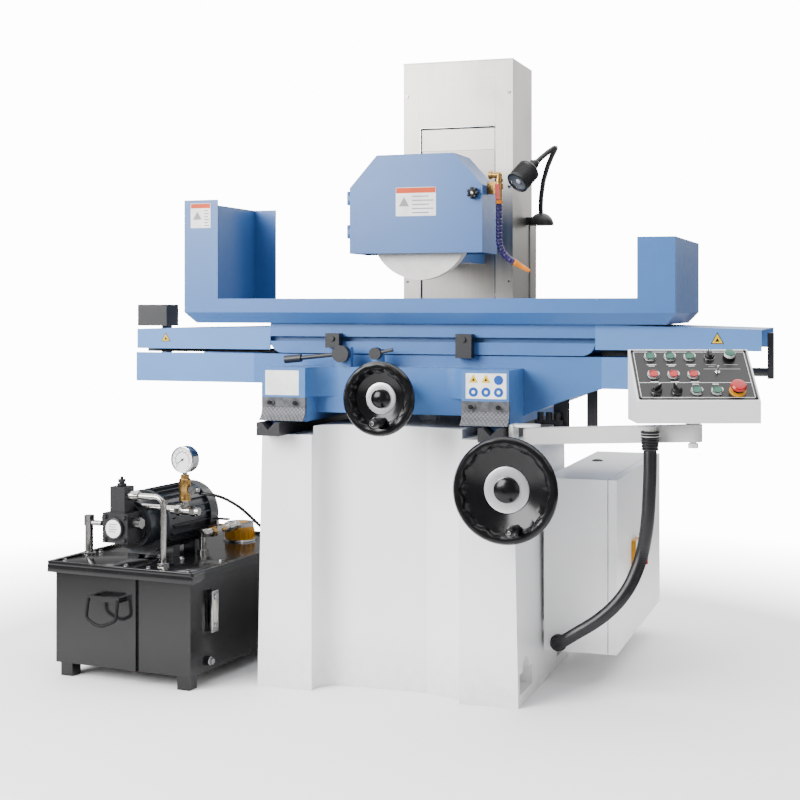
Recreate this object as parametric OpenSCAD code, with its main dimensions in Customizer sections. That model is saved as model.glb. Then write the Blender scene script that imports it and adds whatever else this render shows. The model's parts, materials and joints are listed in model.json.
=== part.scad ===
// Hydraulic surface grinder: base, cross saddle, long table, column with a vertical wheel head,
// electrical cabinet with a pendant on an arm, and a separate hydraulic power unit.
// Millimetres, +X to the operator's right, +Y to the back, +Z up.
// The origin is on the floor, midway between the four anchor holes of the base.

/* [Base] */
// Width of the base at the floor
base_w = 756; // [680:2:860]
// How far each side of the base leans in over its height
base_draft = 14; // [6:1:24]
// Depth of the base from front to back
base_d = 1100; // [1060:10:1400]
// Depth of the wide front block of the base
block_d = 640; // [630:10:680]
// Width of the narrow rear block under the column
rear_w = 520; // [460:10:620]
// Height of the base casting
base_h = 712; // [600:2:860]
// Wall of the base casting
base_wall = 28; // [18:1:34]
// Width of each front pillar
pillar_w = 164; // [140:2:180]
// Depth of the hollow front panel between the pillars
recess_d = 80; // [50:2:88]
// Diameter of the anchor holes
anchor_d = 18; // [14:1:24]

/* [Ways and saddle] */
// Height of the two slideways of the base
way_h = 37; // [30:1:50]
// Width of each slideway
way_w = 68; // [56:1:74]
// Distance between the middles of the slideways
way_pitch = 636; // [600:2:640]
// How far the slideways stand out in front of the base
way_nose = 66; // [40:1:80]
// Width of each saddle horn
horn_w = 131; // [110:1:150]
// How far the saddle horns stand out in front of the base
horn_nose = 18; // [10:1:30]
// Height of the saddle from the slideways to its top
saddle_h = 184; // [170:2:210]
// Thickness of the long slab of the saddle
slab_h = 86; // [80:1:96]
// Length of the long slab of the saddle
slab_l = 1027; // [960:1:1100]
// Running gap between sliding castings
gap = 0.5; // [0.3:0.1:1]

/* [Table] */
// Length of the table casting
table_l = 956; // [900:2:1060]
// Width of the table casting
table_w = 412; // [380:2:420]
// Height of the table casting
table_h = 86; // [80:1:110]
// Width of the T-slots
slot_w = 14; // [10:1:18]
// How far the table stands to the right of the middle
table_x = 81; // [60:1:90]
// Length of the splash guard
guard_l = 1433; // [1360:1:1480]
// Width of the splash guard
guard_w = 499; // [480:1:510]
// Height of the splash guard's front wall over the table
guard_wall = 71; // [60:1:90]
// Height of the left wing over the table
left_wing = 360; // [300:2:380]
// Height of the right wing over the table
right_wing = 234; // [180:2:260]
// Thickness of the sheet metal
sheet = 3; // [2:0.5:4]
// Length of the magnetic chuck
chuck_l = 600; // [400:5:640]
// Width of the magnetic chuck
chuck_w = 300; // [200:5:320]
// Height of the magnetic chuck
chuck_h = 66; // [60:1:70]

/* [Column and wheel head] */
// Height of the column over the base
column_h = 1145; // [1100:5:1300]
// Width of the column's steel shroud
shroud_w = 364; // [350:2:400]
// Depth of the upper part of the shroud
shroud_d = 262; // [256:2:300]
// Distance from the base's front to the column's front
column_y = 720; // [710:2:760]
// Diameter of the grinding wheel
wheel_d = 305; // [250:1:330]
// Thickness of the grinding wheel
wheel_t = 40; // [20:1:45]
// Distance from the wheel's edge to the chuck
wheel_gap = 61; // [57:1:90]
// Width of the wheel guard
hood_w = 408; // [400:2:440]
// Height of the wheel guard
hood_h = 290; // [280:2:300]
// Depth of the wheel guard with its door
hood_d = 165; // [150:1:180]
// Diameter of the spindle
spindle_d = 50; // [36:1:54]
// Diameter of the elevating screw
screw_d = 26; // [20:1:30]

/* [Handwheels] */
// Diameter of the cross-feed handwheel
cross_d = 200; // [160:2:210]
// Diameter of the elevating handwheel
lift_d = 280; // [200:2:280]
// Diameter of the handwheel shafts
shaft_d = 24; // [18:1:28]
// Length of the revolving grips
grip_l = 82; // [60:1:100]

/* [Pendant] */
// Width of the pendant box
pendant_w = 304; // [290:1:330]
// Depth of the pendant box
pendant_d = 145; // [140:1:155]
// Height of the pendant's front edge
pendant_front = 55; // [45:1:65]
// Height of the pendant's rear edge
pendant_rear = 177; // [170:1:190]
// Angle of the pendant box to the base
pendant_turn = 18.5; // [0:0.5:30]
// Diameter of the push-button caps
button_d = 23; // [18:0.5:24]
// How far a push button travels
button_travel = 4; // [2:0.5:5]
// Length of the pendant arm between its pivots
arm_l = 449; // [430:1:470]
// Width of the pendant arm
arm_w = 45; // [36:1:48]

/* [Cabinet] */
// Width of the electrical cabinet with its door
cabinet_w = 208; // [190:2:240]
// Length of the electrical cabinet
cabinet_l = 800; // [640:5:820]
// Height of the electrical cabinet
cabinet_h = 488; // [440:2:500]
// Height of the cabinet over the floor
cabinet_z = 96; // [80:2:130]

/* [Hydraulic power unit] */
// Width of the oil tank
tank_w = 457; // [430:1:480]
// Length of the oil tank
tank_l = 700; // [660:5:720]
// Height of the oil tank's top over the floor
tank_h = 326; // [300:2:360]
// Diameter of the pump motor
motor_d = 190; // [160:2:196]

/* [Hidden] */

// Clearances
fit = 0.05;
seat = 0.3;

// Heights
way_top = base_h + way_h;
bridge_h = 24;
horn_z = way_top + 68;
horn_top = way_top + 151;
saddle_top = way_top + saddle_h;
slab_z = saddle_top - slab_h;
table_z = saddle_top + 3;
table_top = table_z + table_h;
chuck_top = table_top + chuck_h;
spindle_z = chuck_top + wheel_gap + wheel_d / 2;
hood_z = spindle_z - 75;
hood_top = hood_z + hood_h;
column_top = base_h + column_h;
cross_z = way_top + 77;
lift_z = base_h - 117;
rod_z = slab_z + slab_h / 2;

// Anchor holes: how far apart they are, and the distance from the base's front plane to their middle
pocket_l = 145;
anchor_pitch = [base_w - 50, block_d - 185];
anchor_mid = 20 + (pocket_l + anchor_pitch.y) / 2;

// Places across and along the base, counted from its front plane
slab_x = 61.5;
slab_y = 140;
slab_d = 460;
table_y = 340;
table_left = table_x - table_l / 2;
table_right = table_x + table_l / 2;
slab_left = slab_x - slab_l / 2;
slab_right = slab_x + slab_l / 2;
front_y = table_y - table_w / 2;
guard_x = 63.5;
cross_x = 32;
lift_x = 374;
hood_y = 285;
hood_chamfer = [85, 95];
wheel_y = 320;
column_wall = 35;
screw_x = 104;
screw_y = column_y + 142;
cover_gap = 3;
side_x = base_w / 2;

// Pendant controls, from the middle of the sloping panel: across, then up the slope
col_pitch = 50;
row_up = 63;
row_mid = -3;
row_low = -61;
slope_l = norm([pendant_d, pendant_rear - pendant_front]);
slope_a = atan2(pendant_rear - pendant_front, pendant_d);

// Pendant arm
arm_root = [412, 10];
arm_angle = -13;
arm_h = 43;
arm_z = base_h - 7;
arm_rise = 28;
arm_pin = 16;
arm_end = arm_root + arm_l * [cos(arm_angle), sin(arm_angle)];
pendant_z = arm_z + arm_rise + arm_h + 8;

// Conduit from the pendant arm's gland down to the cabinet's front, from the base's front plane
conduit_d = 34;
conduit_sides = 12;
conduit_route = [
  [747, -124, 741], [747, -124, 712], [747, -124, 675], [746, -123, 635], [744, -121, 595],
  [741, -117, 553], [736, -110, 511], [728, -100, 470], [717, -86, 431], [702, -68, 393],
  [684, -46, 357], [661, -22, 322], [634, 6, 289], [604, 36, 259], [573, 67, 232],
  [542, 97, 208], [512, 127, 186], [486, 157, 166], [464, 186, 149], [446, 214, 135],
  [433, 240, 125], [427, 262, 120], [427, 275.9, 120]
];

// Pilot hose from the gauge valve to the left side of the base
hose_d = 9;
hose_sides = 10;
pilot_route = [
  [-556, 8, 533], [-540, 9, 533], [-524, 13, 531], [-507, 20, 526], [-490, 29, 518],
  [-474, 40, 507], [-459, 52, 494], [-446, 65, 479], [-434, 78, 463], [-423, 90, 447],
  [-412, 101, 433], [-401, 108, 424], [-390, 110, 421], [-384, 110, 421]
];

// Power unit, turned a little against the base
tank_place = [-782, 196];
tank_turn = -5.8;
// Middle of the tank in the power unit's own frame
tank_mid = [60, 56];

// Common shapes
module from_front() translate([0, -anchor_mid, 0]) children();
module along_y(r, h) rotate([-90, 0, 0]) cylinder(r = r, h = h, $fn = 64);
module along_x(r, h) rotate([0, 90, 0]) cylinder(r = r, h = h, $fn = 64);
module upright(r, h) cylinder(r = r, h = h, $fn = 64);
module block(low, high) translate(low) cube(high - low);
module prism_x(x, l) translate([x, 0, 0]) rotate([90, 0, 90]) linear_extrude(l) children();
module prism_y(y, l) translate([0, y + l, 0]) rotate([90, 0, 0]) linear_extrude(l) children();

// A tube swept along a route of points, with a ring across the route at each of its points
function unit(v) = v / norm(v);
function heading(p, i) = unit(p[min(i + 1, len(p) - 1)] - p[max(i - 1, 0)]);
function sideways(h) = abs(h.z) > 0.9 ? unit(cross(h, [0, 1, 0])) : unit(cross(h, [0, 0, 1]));
function ring(p, h, s, r, n) = [for (k = [0 : n - 1]) p + r * (cos(360 * k / n) * s
  + sin(360 * k / n) * cross(h, s))];
function carried(p, i) = i == 0 ? sideways(heading(p, 0))
  : let (h = heading(p, i), s = carried(p, i - 1)) unit(s - (s * h) * h);
module tube(p, r, n) {
  rings = [for (i = [0 : len(p) - 1]) each ring(p[i], heading(p, i), carried(p, i), r, n)];
  last = (len(p) - 1) * n;
  sides = [for (i = [0 : len(p) - 2], k = [0 : n - 1])
    [i * n + k, (i + 1) * n + k, (i + 1) * n + (k + 1) % n, i * n + (k + 1) % n]];
  ends = [[for (k = [0 : n - 1]) k], [for (k = [n - 1 : -1 : 0]) last + k]];
  polyhedron(rings, concat(sides, ends), convexity = 8);
}

// ---- Base and column ----

module base_plan() {
  difference() {
    union() {
      translate([-side_x, 0]) square([base_w, block_d]);
      translate([-rear_w / 2, block_d - 1]) square([rear_w, base_d - block_d + 1]);
    }
    front_recess();
  }
}

module front_recess() {
  left = pillar_w - side_x;
  right = side_x - pillar_w;
  round_r = recess_d - 14;
  translate([left, -1]) square([round_r + 1, 15]);
  intersection() {
    translate([left + round_r, 14]) circle(round_r, $fn = 64);
    translate([left, 13]) square([round_r + 1, recess_d]);
  }
  polygon([[left + round_r, -1], [right, -1], [right, 30], [right - 16, 38],
    [right - 116, recess_d], [left + round_r, recess_d]]);
}

module base_casting() from_front() color("whitesmoke") {
  difference() {
    intersection() {
      linear_extrude(base_h) base_plan();
      prism_y(-1, base_d + 2) polygon([[-side_x, 0], [side_x, 0],
        [side_x - base_draft, base_h], [base_draft - side_x, base_h]]);
    }
    base_hollow();
    for (side = [-1, 1]) foot_pocket(side, 20);
    for (side = [-1, 1]) foot_pocket(side, block_d - 165);
    anchor_holes();
  }
  base_bridge();
  cross_nut();
  arm_bracket();
  lift_gearbox();
  hose_union();
}

// Raised middle of the casting, between the slideways
module base_bridge() translate([0, 0, base_h - 1]) linear_extrude(bridge_h + 1) intersection() {
  base_plan();
  translate([pillar_w - side_x, 0]) square([base_w - 2 * pillar_w, block_d - 20]);
}

// Sealed core of the casting, with walls left round the foot pockets
module base_hollow() {
  inner = side_x - base_draft - base_wall;
  difference() {
    block([-inner, recess_d + base_wall, 30], [inner, block_d - base_wall, base_h - 40]);
    for (side = [-1, 1], y = [0, block_d - 185])
      translate([side * inner, y, 0]) block([-40 - base_wall, -1, 0], [40 + base_wall, 186, 160]);
  }
  block([base_wall - rear_w / 2, block_d - base_wall - 1, 30],
    [rear_w / 2 - base_wall, base_d - base_wall, base_h - 40]);
}

module foot_pocket(side, y) {
  inner = side_x - base_draft - base_wall - 20;
  low = side > 0 ? inner : -side_x - 1;
  high = side > 0 ? side_x + 1 : -inner;
  block([low, y, 30], [high, y + pocket_l, 84]);
  translate([low, y + pocket_l / 2, 84]) along_x(36, high - low);
}

module anchor_holes() {
  for (x = [-1, 1], y = [-1, 1])
    translate([x * anchor_pitch.x / 2, anchor_mid + y * anchor_pitch.y / 2, -1])
      upright(anchor_d / 2, 40);
}

// Fixed nut of the cross-feed screw
module cross_nut() difference() {
  block([cross_x - 24, 300, base_h - 1], [cross_x + 24, 344, cross_z + 24]);
  translate([cross_x, 299, cross_z]) along_y(shaft_d / 2 + fit, 46);
}

// Bracket that carries the pendant arm's pin at the right front corner
module arm_bracket() {
  near = side_x - base_draft - 2;
  difference() {
    union() {
      block([near - 4, -24, arm_z - 12], [near + 6, 44, arm_z + 52]);
      block([near, -14, arm_z + arm_h + 2], [arm_root.x, 34, arm_z + arm_h + 9]);
      translate([arm_root.x, arm_root.y, arm_z + arm_h + 2]) upright(24, 7);
    }
    for (y = [-6, 26]) translate([near - 12, y, arm_z + 28]) along_x(5, 30);
  }
  translate([arm_root.x, arm_root.y, arm_z - 6]) upright(arm_pin / 2, arm_h + 12);
}

// Bevel gear housing behind the elevating handwheel
module lift_gearbox() difference() {
  block([lift_x - 44, -60, lift_z - 44], [lift_x + 36, 0, lift_z + 44]);
  translate([lift_x, -61, lift_z]) along_y(shaft_d / 2 + fit, 54);
}

// Union on the left side of the base where the pilot hose ends
module hose_union() {
  last = pilot_route[len(pilot_route) - 1];
  lean = base_draft * (last.z + 14) / base_h;
  translate([last.x, last.y, last.z]) along_x(11, -side_x + lean - last.x);
}

module way_profile() {
  difference() {
    translate([-way_w / 2, 0]) square([way_w, way_h]);
    polygon([[-20, way_h + 1], [20, way_h + 1], [20, way_h], [0, way_h - 20], [-20, way_h]]);
  }
}

module base_ways() from_front() color("dimgray")
  for (side = [-1, 1]) translate([side * way_pitch / 2, 0, base_h])
    prism_y(-way_nose, block_d + way_nose - 4) way_profile();

module column_casting() from_front() color("gainsboro") {
  wide = shroud_w / 2 - 12;
  inner = wide - column_wall;
  front = column_y + 25;
  back = column_y + shroud_d - 12;
  difference() {
    block([-wide, front, base_h], [wide, back, column_top - 20]);
    block([-inner, front + 30, base_h - 1], [inner, back - 24, column_top - 19]);
    block([-94 - 6, front - 1, base_h + 60], [94 + 6, front + 31, column_top - 19]);
  }
  screw_seat(base_h + 24);
  screw_seat(column_top - 60);
}

// Bearing block for one end of the elevating screw
module screw_seat(z) difference() {
  block([screw_x - 24, screw_y - 24, z], [shroud_w / 2 - 12 - column_wall, screw_y + 24, z + 30]);
  translate([screw_x, screw_y, z - 1]) upright(screw_d / 2 + fit, 32);
}

slot_half = 125;
slot_low = base_h + 288;
slot_high = column_top - 212;
step_z = table_top + 320;

module column_shroud() from_front() color("silver") {
  w = shroud_w / 2;
  difference() {
    block([-w, column_y, base_h], [w, column_y + shroud_d, column_top]);
    block([sheet - w, column_y + sheet, base_h - 1],
      [w - sheet, column_y + shroud_d - sheet, column_top - sheet]);
    block([-slot_half, column_y - 1, slot_low], [slot_half, column_y + sheet + 1, column_top - 60]);
  }
  rear_box(w);
  block([-slot_half - 8, column_y + sheet, slot_high], [slot_half + 8, column_y + sheet + 2, column_top - 40]);
}

// Deeper cover over the lower part of the column's back
module rear_box(w) difference() {
  block([-w - 4, column_y + shroud_d - 40, base_h], [w + 4, column_y + 309, step_z]);
  block([-w, column_y + shroud_d - 41, base_h - 1], [w, column_y + 309 - sheet, step_z - sheet]);
  block([-w, column_y + shroud_d - 41, base_h - 1], [w, column_y + shroud_d, step_z + 1]);
}

module elevating_screw() from_front() color("lightsteelblue") {
  translate([screw_x, screw_y, base_h + 4]) upright(screw_d / 2, column_h - 34);
  translate([screw_x, screw_y, base_h + 58]) upright(screw_d / 2 + 8, 10);
}

// ---- Electrical cabinet ----

cabinet_x = side_x + 6;
cabinet_y = 277;
door_t = 24;
door_x = cabinet_x + cabinet_w - door_t;

module cabinet_shell() from_front() color("white") {
  high = [door_x - 2, cabinet_y + cabinet_l, cabinet_z + cabinet_h];
  difference() {
    block([cabinet_x, cabinet_y, cabinet_z], high);
    block([cabinet_x + 2, cabinet_y + 2, cabinet_z + 2], high + [1, -2, -2]);
    translate([cabinet_x + 42, cabinet_y - 1, 120]) along_y(conduit_d / 2 + 2, 6);
  }
  cabinet_rail(cabinet_z + 50);
  cabinet_rail(cabinet_z + cabinet_h - 60);
  cabinet_gland();
  cabinet_hinges(true);
  control_gear();
}

// Rail between the side of the base and the cabinet
module cabinet_rail(z) {
  lean = base_draft * (z + 15) / base_h;
  block([side_x - lean + 0.4, cabinet_y + 20, z], [cabinet_x + 1, block_d - 10, z + 30]);
}

module cabinet_gland() translate([cabinet_x + 42, cabinet_y, 120]) {
  difference() {
    union() {
      along_y(conduit_d / 2 + 1.9, 10);
      translate([0, -1, 0]) along_y(conduit_d / 2 + 7, 1);
    }
    translate([0, 2, 0]) along_y(conduit_d / 2 - 4, 12);
  }
}

module cabinet_hinges(fixed) {
  for (z = [cabinet_z + 60, cabinet_z + cabinet_h - 100])
    translate([door_x - 1, cabinet_y + cabinet_l + 7, z]) {
      if (fixed) {
        hinge_leaf(0, -12, 12);
        hinge_leaf(28, -12, 12);
        upright(3, 40);
      } else {
        difference() {
          hinge_leaf(12.3, 1, 15.4);
          upright(3 + fit, 40);
        }
      }
    }
}

module hinge_leaf(z, x, h) translate([0, 0, z]) difference() {
  union() {
    upright(6.5, h);
    block([min(0, x), -9, 0], [max(0, x), 0, h]);
  }
  if (x < 0) upright(3, h);
}

// Mounting plate with contactors, transformer and terminal rails
module control_gear() {
  plate = cabinet_x + 20;
  block([plate, cabinet_y + 40, cabinet_z + 40],
    [plate + 3, cabinet_y + cabinet_l - 40, cabinet_z + cabinet_h - 40]);
  block([cabinet_x + 1, cabinet_y + 80, cabinet_z + 80], [plate + 1, cabinet_y + 110, cabinet_z + 110]);
  block([cabinet_x + 1, cabinet_y + cabinet_l - 110, cabinet_z + 80],
    [plate + 1, cabinet_y + cabinet_l - 80, cabinet_z + 110]);
  for (k = [0 : 4])
    block([plate + 3, cabinet_y + 90 + 90 * k, cabinet_z + 300],
      [plate + 78, cabinet_y + 150 + 90 * k, cabinet_z + 380]);
  block([plate + 3, cabinet_y + 100, cabinet_z + 80], [plate + 103, cabinet_y + 240, cabinet_z + 200]);
  for (k = [0 : 2])
    block([plate + 3, cabinet_y + 330 + 110 * k, cabinet_z + 90],
      [plate + 60, cabinet_y + 410 + 110 * k, cabinet_z + 190]);
}

isolator = [door_x + door_t, cabinet_y + 283, cabinet_z + 232];
isolator_t = 20;

module cabinet_door() from_front() color("white") {
  difference() {
    block([door_x, cabinet_y, cabinet_z], [door_x + door_t, cabinet_y + cabinet_l, cabinet_z + cabinet_h]);
    block([door_x - 1, cabinet_y + 2, cabinet_z + 2],
      [door_x + door_t - 2, cabinet_y + cabinet_l - 2, cabinet_z + cabinet_h - 2]);
    translate([isolator.x - 3, isolator.y, isolator.z]) along_x(6 + fit, 6);
  }
  difference() {
    block([isolator.x, isolator.y - 40, isolator.z - 50], isolator + [isolator_t, 40, 50]);
    translate([isolator.x - 1, isolator.y, isolator.z]) along_x(6 + fit, isolator_t + 2);
  }
  cabinet_hinges(false);
}

module isolator_knob() from_front() color("red") translate(isolator) {
  translate([-12, 0, 0]) along_x(6, isolator_t + 16);
  translate([isolator_t + seat, 0, 0]) along_x(24, 9);
  translate([isolator_t + seat, -6, -22]) cube([22, 12, 44]);
}

module conduit() from_front() color("black")
  tube(conduit_route, conduit_d / 2, conduit_sides);

// ---- Hydraulic power unit ----

module power_unit() from_front() translate([tank_place.x, tank_place.y, 0]) rotate([0, 0, tank_turn])
  children();

tank_leg = 40;
lid_t = 10;
front = -tank_l / 2;

module hydraulic_tank() power_unit() color([0.05, 0.05, 0.05]) translate(tank_mid) {
  difference() {
    block([-tank_w / 2, front, tank_leg], [tank_w / 2, -front, tank_h - lid_t]);
    block([3 - tank_w / 2, front + 3, tank_leg + 3], [tank_w / 2 - 3, -front - 3, tank_h]);
  }
  block([-tank_w / 2 - 14, front - 14, tank_h - lid_t], [tank_w / 2 + 14, 14 - front, tank_h]);
  for (x = [-1, 1], y = [-1, 1])
    translate([x * (tank_w / 2 - 30) - 20, y * (tank_l / 2 - 30) - 20, 0]) cube([40, 40, tank_leg]);
  block([20, front - 8, tank_leg], [52, front, tank_h - lid_t]);
  level_gauge();
  tank_handle();
  translate([tank_w / 2, front + 90, tank_leg + 28]) along_x(13, 10);
}

module level_gauge() translate([tank_w / 2, front + 105, tank_h - 175]) {
  block([0, -14, 0], [12, 14, 24]);
  block([0, -14, 86], [12, 14, 110]);
  block([3, -10, 24], [11, 10, 86]);
}

module tank_handle() translate([-92, front, tank_h - 90]) {
  for (x = [0, 96]) block([x, -32, 0], [x + 14, 0, 14]);
  block([0, -40, 0], [110, -32, 14]);
}

motor_x = 14;
motor_y = -112;
motor_z = tank_h + motor_d / 2 + 12;
motor_l = 262;

module pump_motor() power_unit() color([0.09, 0.09, 0.1]) translate([motor_x, motor_y, motor_z]) {
  r = motor_d / 2;
  difference() {
    union() {
      along_y(r - 10, motor_l);
      for (k = [0 : 23]) rotate([0, 15 * k + 7.5, 0]) block([-1.5, 20, r - 12], [1.5, motor_l - 50, r]);
      translate([0, -12, 0]) along_y(r, 14);
      translate([0, -72, 0]) along_y(r - 24, 62);
      translate([0, motor_l - 44, 0]) along_y(r, 44);
      motor_feet();
    }
    translate([0, -73, 0]) along_y(34, 66);
    translate([0, -9, 0]) along_y(14 + fit, motor_l - 11);
    translate([0, motor_l - 30, 0]) along_y(r - 8, 26);
  }
  block([-r - 34, 70, -30], [10 - r, 150, 50]);
}

module motor_feet() {
  drop = motor_z - tank_h;
  for (y = [30, 150]) difference() {
    block([-80, y, -drop], [80, y + 36, 24 - motor_d / 2]);
    block([-40, y - 1, -drop - 1], [40, y + 37, 8 - motor_d / 2]);
  }
}

module pump_coupling() power_unit() color("lightgray") translate([motor_x, motor_y, motor_z]) {
  translate([0, -78, 0]) along_y(9, 70);
  translate([0, -62, 0]) along_y(24, 46);
  translate([0, -9, 0]) along_y(14, motor_l - 14);
  translate([0, motor_l - 29, 0]) along_y(motor_d / 2 - 14, 20);
}

module vane_pump() power_unit() color("black") translate([motor_x, motor_y, motor_z]) {
  difference() {
    union() {
      translate([0, -84, 0]) along_y(60, 12);
      block([-43, -150, -43], [43, -84, 43]);
      block([-24, -140, 40], [26, -92, 118]);
      translate([0, -158, 0]) along_y(30, 9);
      translate([42, -118, 14]) along_x(15, 26);
      translate([-60, -118, 24]) along_x(13, 20);
      translate([0, -116, 118]) upright(8, 12);
      translate([0, -116, 130]) upright(11, 8);
    }
    translate([0, -100, 0]) along_y(9 + fit, 40);
  }
}

module hydraulic_pipes() power_unit() color("silver") {
  gauge_stack();
  pump_line();
  return_line();
  filler_cap();
  stop_valve();
}

// Pressure gauge on its brass body and tee, held by a bar from the pump
gauge_at = [195, -172];
module gauge_stack() translate([gauge_at.x, gauge_at.y, motor_z + 50]) {
  difference() {
    translate([motor_x + 26 - gauge_at.x, -4, 4]) along_x(9, gauge_at.x - motor_x - 40);
    translate([motor_x - gauge_at.x, -20, -50]) along_y(motor_d / 2 - 24 + seat, 40);
  }
  translate([-44, -4, 0]) along_x(11, 92);
  translate([0, -4, 0]) upright(10, 34);
  translate([0, -4, 30]) upright(15, 62);
  translate([0, -4, 88]) upright(7, 26);
  translate([0, -17, 148]) along_y(37, 28);
  translate([12, -4, 62]) along_x(7, 34);
  translate([30, -16, 62]) along_y(12, 24);
}

// Steel pipe bent from the pump's head down to the lid
module pump_line() {
  x = 156;
  y = motor_y - 116;
  top = motor_z + 92;
  translate([x, y, tank_h]) upright(9, top - tank_h - 26);
  translate([x, y, tank_h]) upright(17, 8);
  translate([x, y, top - 26]) quarter_bend();
  translate([motor_x + 26, y, top]) along_x(9, x - motor_x - 52);
  translate([motor_x + 26, y, top]) along_x(14, 34);
}

// Quarter turn of pipe from upright to the left
module quarter_bend() translate([-26, 0, 0]) rotate([90, 0, 0])
  rotate_extrude(angle = 90, $fn = 48) translate([26, 0]) circle(9, $fn = 32);

module return_line() translate([-154, -155, tank_h]) {
  upright(20, 6);
  upright(12, 92);
  translate([0, 0, 92]) upright(15, 30);
  translate([0, 0, 100]) along_x(8, 46);
}

module filler_cap() translate([104, 288, tank_h]) {
  upright(52, 6);
  translate([0, 0, 6]) upright(43, 52);
}

// Stop valve on the lid with the pipe that runs back to the filter
module stop_valve() translate([127, 30, tank_h]) {
  upright(17, 10);
  upright(11, 58);
  translate([0, -10, 58]) along_y(13, 210);
  translate([-14, 60, 44]) cube([28, 44, 28]);
  translate([0, 82, 70]) upright(6, 22);
  translate([-14, 76, 90]) cube([56, 12, 6]);
}

module hydraulic_hoses() from_front() color("black") {
  tube(pilot_route, hose_d / 2, hose_sides);
}

// ---- Saddle ----

horn_x = 291.5;

module saddle_casting() from_front() color("steelblue") {
  difference() {
    union() {
      for (side = [-1, 1]) saddle_leg(side);
      saddle_front();
      saddle_slab();
      lever_stands();
    }
    block([-200, 122, way_top], [200, slab_y + slab_d - 30, saddle_top - 34]);
    translate([cross_x, -20, cross_z]) along_y(shaft_d / 2 + fit, 160);
    translate([slab_left - 1, table_y, rod_z]) along_x(32, slab_l + 2);
    for (y = [-130, 130]) translate([0, table_y + y, saddle_top]) prism_x(slab_left - 1, slab_l + 2)
      polygon([[-18, 1], [18, 1], [18, 0], [0, -18], [-18, 0]]);
  }
}

// Leg with the ridge that runs in the slideway's groove
module saddle_leg(side) {
  prism_y(-6, slab_y + slab_d - 10) translate([0, way_top + gap])
    polygon([for (p = [[-horn_w / 2, 0], [-19, 0], [0, -19], [19, 0], [horn_w / 2, 0],
      [horn_w / 2, 90], [-horn_w / 2, 90]]) [p.x + side * horn_x + (abs(p.y) < 20 && abs(p.x) < 20
      ? side * (way_pitch / 2 - horn_x) : 0), p.y]]);
}

// Horns and the curved apron between them
module saddle_front() {
  half = horn_x + horn_w / 2;
  open = horn_x - horn_w / 2;
  translate([0, 0, horn_z]) linear_extrude(horn_top - horn_z) difference() {
    translate([-half, -horn_nose]) square([2 * half, slab_y + horn_nose + 20]);
    apron_recess(open);
  }
  translate([0, 0, horn_z - 46]) linear_extrude(60) translate([-open, 70]) square([2 * open, 60]);
}

module apron_recess(open) {
  r = 66;
  translate([-open, -horn_nose - 1]) square([2 * open, 70 - r + horn_nose + 1]);
  translate([-open + r, -horn_nose - 1]) square([2 * (open - r), 70 + horn_nose + 1]);
  for (side = [-1, 1]) intersection() {
    translate([side * (open - r), 70 - r]) circle(r, $fn = 64);
    translate([-open, 0]) square([2 * open, 80]);
  }
}

module saddle_slab() prism_y(slab_y, slab_d) polygon([
  [slab_left, saddle_top], [slab_right, saddle_top], [slab_right, slab_z],
  [slab_right - 95, slab_z - 30], [horn_x + horn_w / 2, slab_z - 78], [-horn_x - horn_w / 2, slab_z - 78],
  [-horn_x - horn_w / 2, slab_z], [slab_left, slab_z]]);

lever_x = -147;
lever_z = saddle_top + 4;
starter_x = -46;
starter_z = saddle_top + 6;

// Two small pedestals that carry the levers' shafts
module lever_stands() {
  difference() {
    block([lever_x - 22, 72, horn_top - 1], [lever_x + 22, 96, lever_z + 18]);
    translate([lever_x, 71, lever_z]) along_y(7 + fit, 26);
  }
  difference() {
    block([starter_x - 15, 74, horn_top - 1], [starter_x + 15, 96, starter_z + 12]);
    translate([starter_x, 73, starter_z]) along_y(5 + fit, 24);
  }
}

module reversing_lever() from_front() color([0.2, 0.2, 0.22]) translate([lever_x, 0, lever_z]) {
  translate([0, 56, 0]) along_y(7, 44);
  translate([0, 46, 0]) along_y(24, 25);
  rotate([0, -6, 0]) {
    translate([-150, 58, 0]) along_x(6, 140);
    translate([-172, 58, 0]) along_x(11, 50);
  }
}

module start_lever() from_front() color([0.15, 0.15, 0.16]) translate([starter_x, 0, starter_z]) {
  translate([0, 60, 0]) along_y(5, 38);
  translate([0, 52, 0]) along_y(17, 21);
  rotate([0, -12, 0]) translate([10, 62, 0]) along_x(5, 42);
}

cover_l = 386;
lower_cover_l = 263;

// Troughs that carry on from both ends of the saddle, open at the top and the far end
module saddle_covers() from_front() color("cadetblue") {
  trough(slab_left - cover_l, cover_l);
  trough(slab_right, lower_cover_l);
}

module trough(x, l) difference() {
  block([x, slab_y, slab_z], [x + l, slab_y + slab_d, saddle_top]);
  block([x - 1, slab_y + sheet, slab_z + sheet], [x + l + 1, slab_y + slab_d - sheet, saddle_top + 1]);
}

// Clamp strips with screws, and the rubber flaps that curl out under them
module way_wipers() from_front() color([0.2, 0.2, 0.21])
  for (side = [-1, 1]) translate([side * horn_x, -horn_nose, horn_z]) {
    block([-horn_w / 2, 0, -27], [horn_w / 2, 12, 0]);
    for (s = [-1, 1]) translate([s * (horn_w / 2 - 33), -5, -14]) along_y(6, 5);
    translate([0, -40, -27]) prism_x(-horn_w / 2, horn_w) intersection() {
      difference() {
        circle(46, $fn = 64);
        circle(41, $fn = 64);
      }
      translate([0, -37]) square([60, 37]);
    }
  }

// Hydraulic cylinder in the saddle, bored for the piston and its rod
cylinder_l = 780;
cap_t = 15;
piston_r = 25;
rod_r = 12;
module table_cylinder() from_front() color("slategray") translate([slab_x, table_y, rod_z]) difference() {
  translate([-cylinder_l / 2, 0, 0]) along_x(32 - fit, cylinder_l);
  translate([cap_t - cylinder_l / 2, 0, 0]) along_x(piston_r + fit, cylinder_l - 2 * cap_t);
  translate([-cylinder_l / 2 - 1, 0, 0]) along_x(rod_r + fit, cylinder_l + 2);
}

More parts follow.
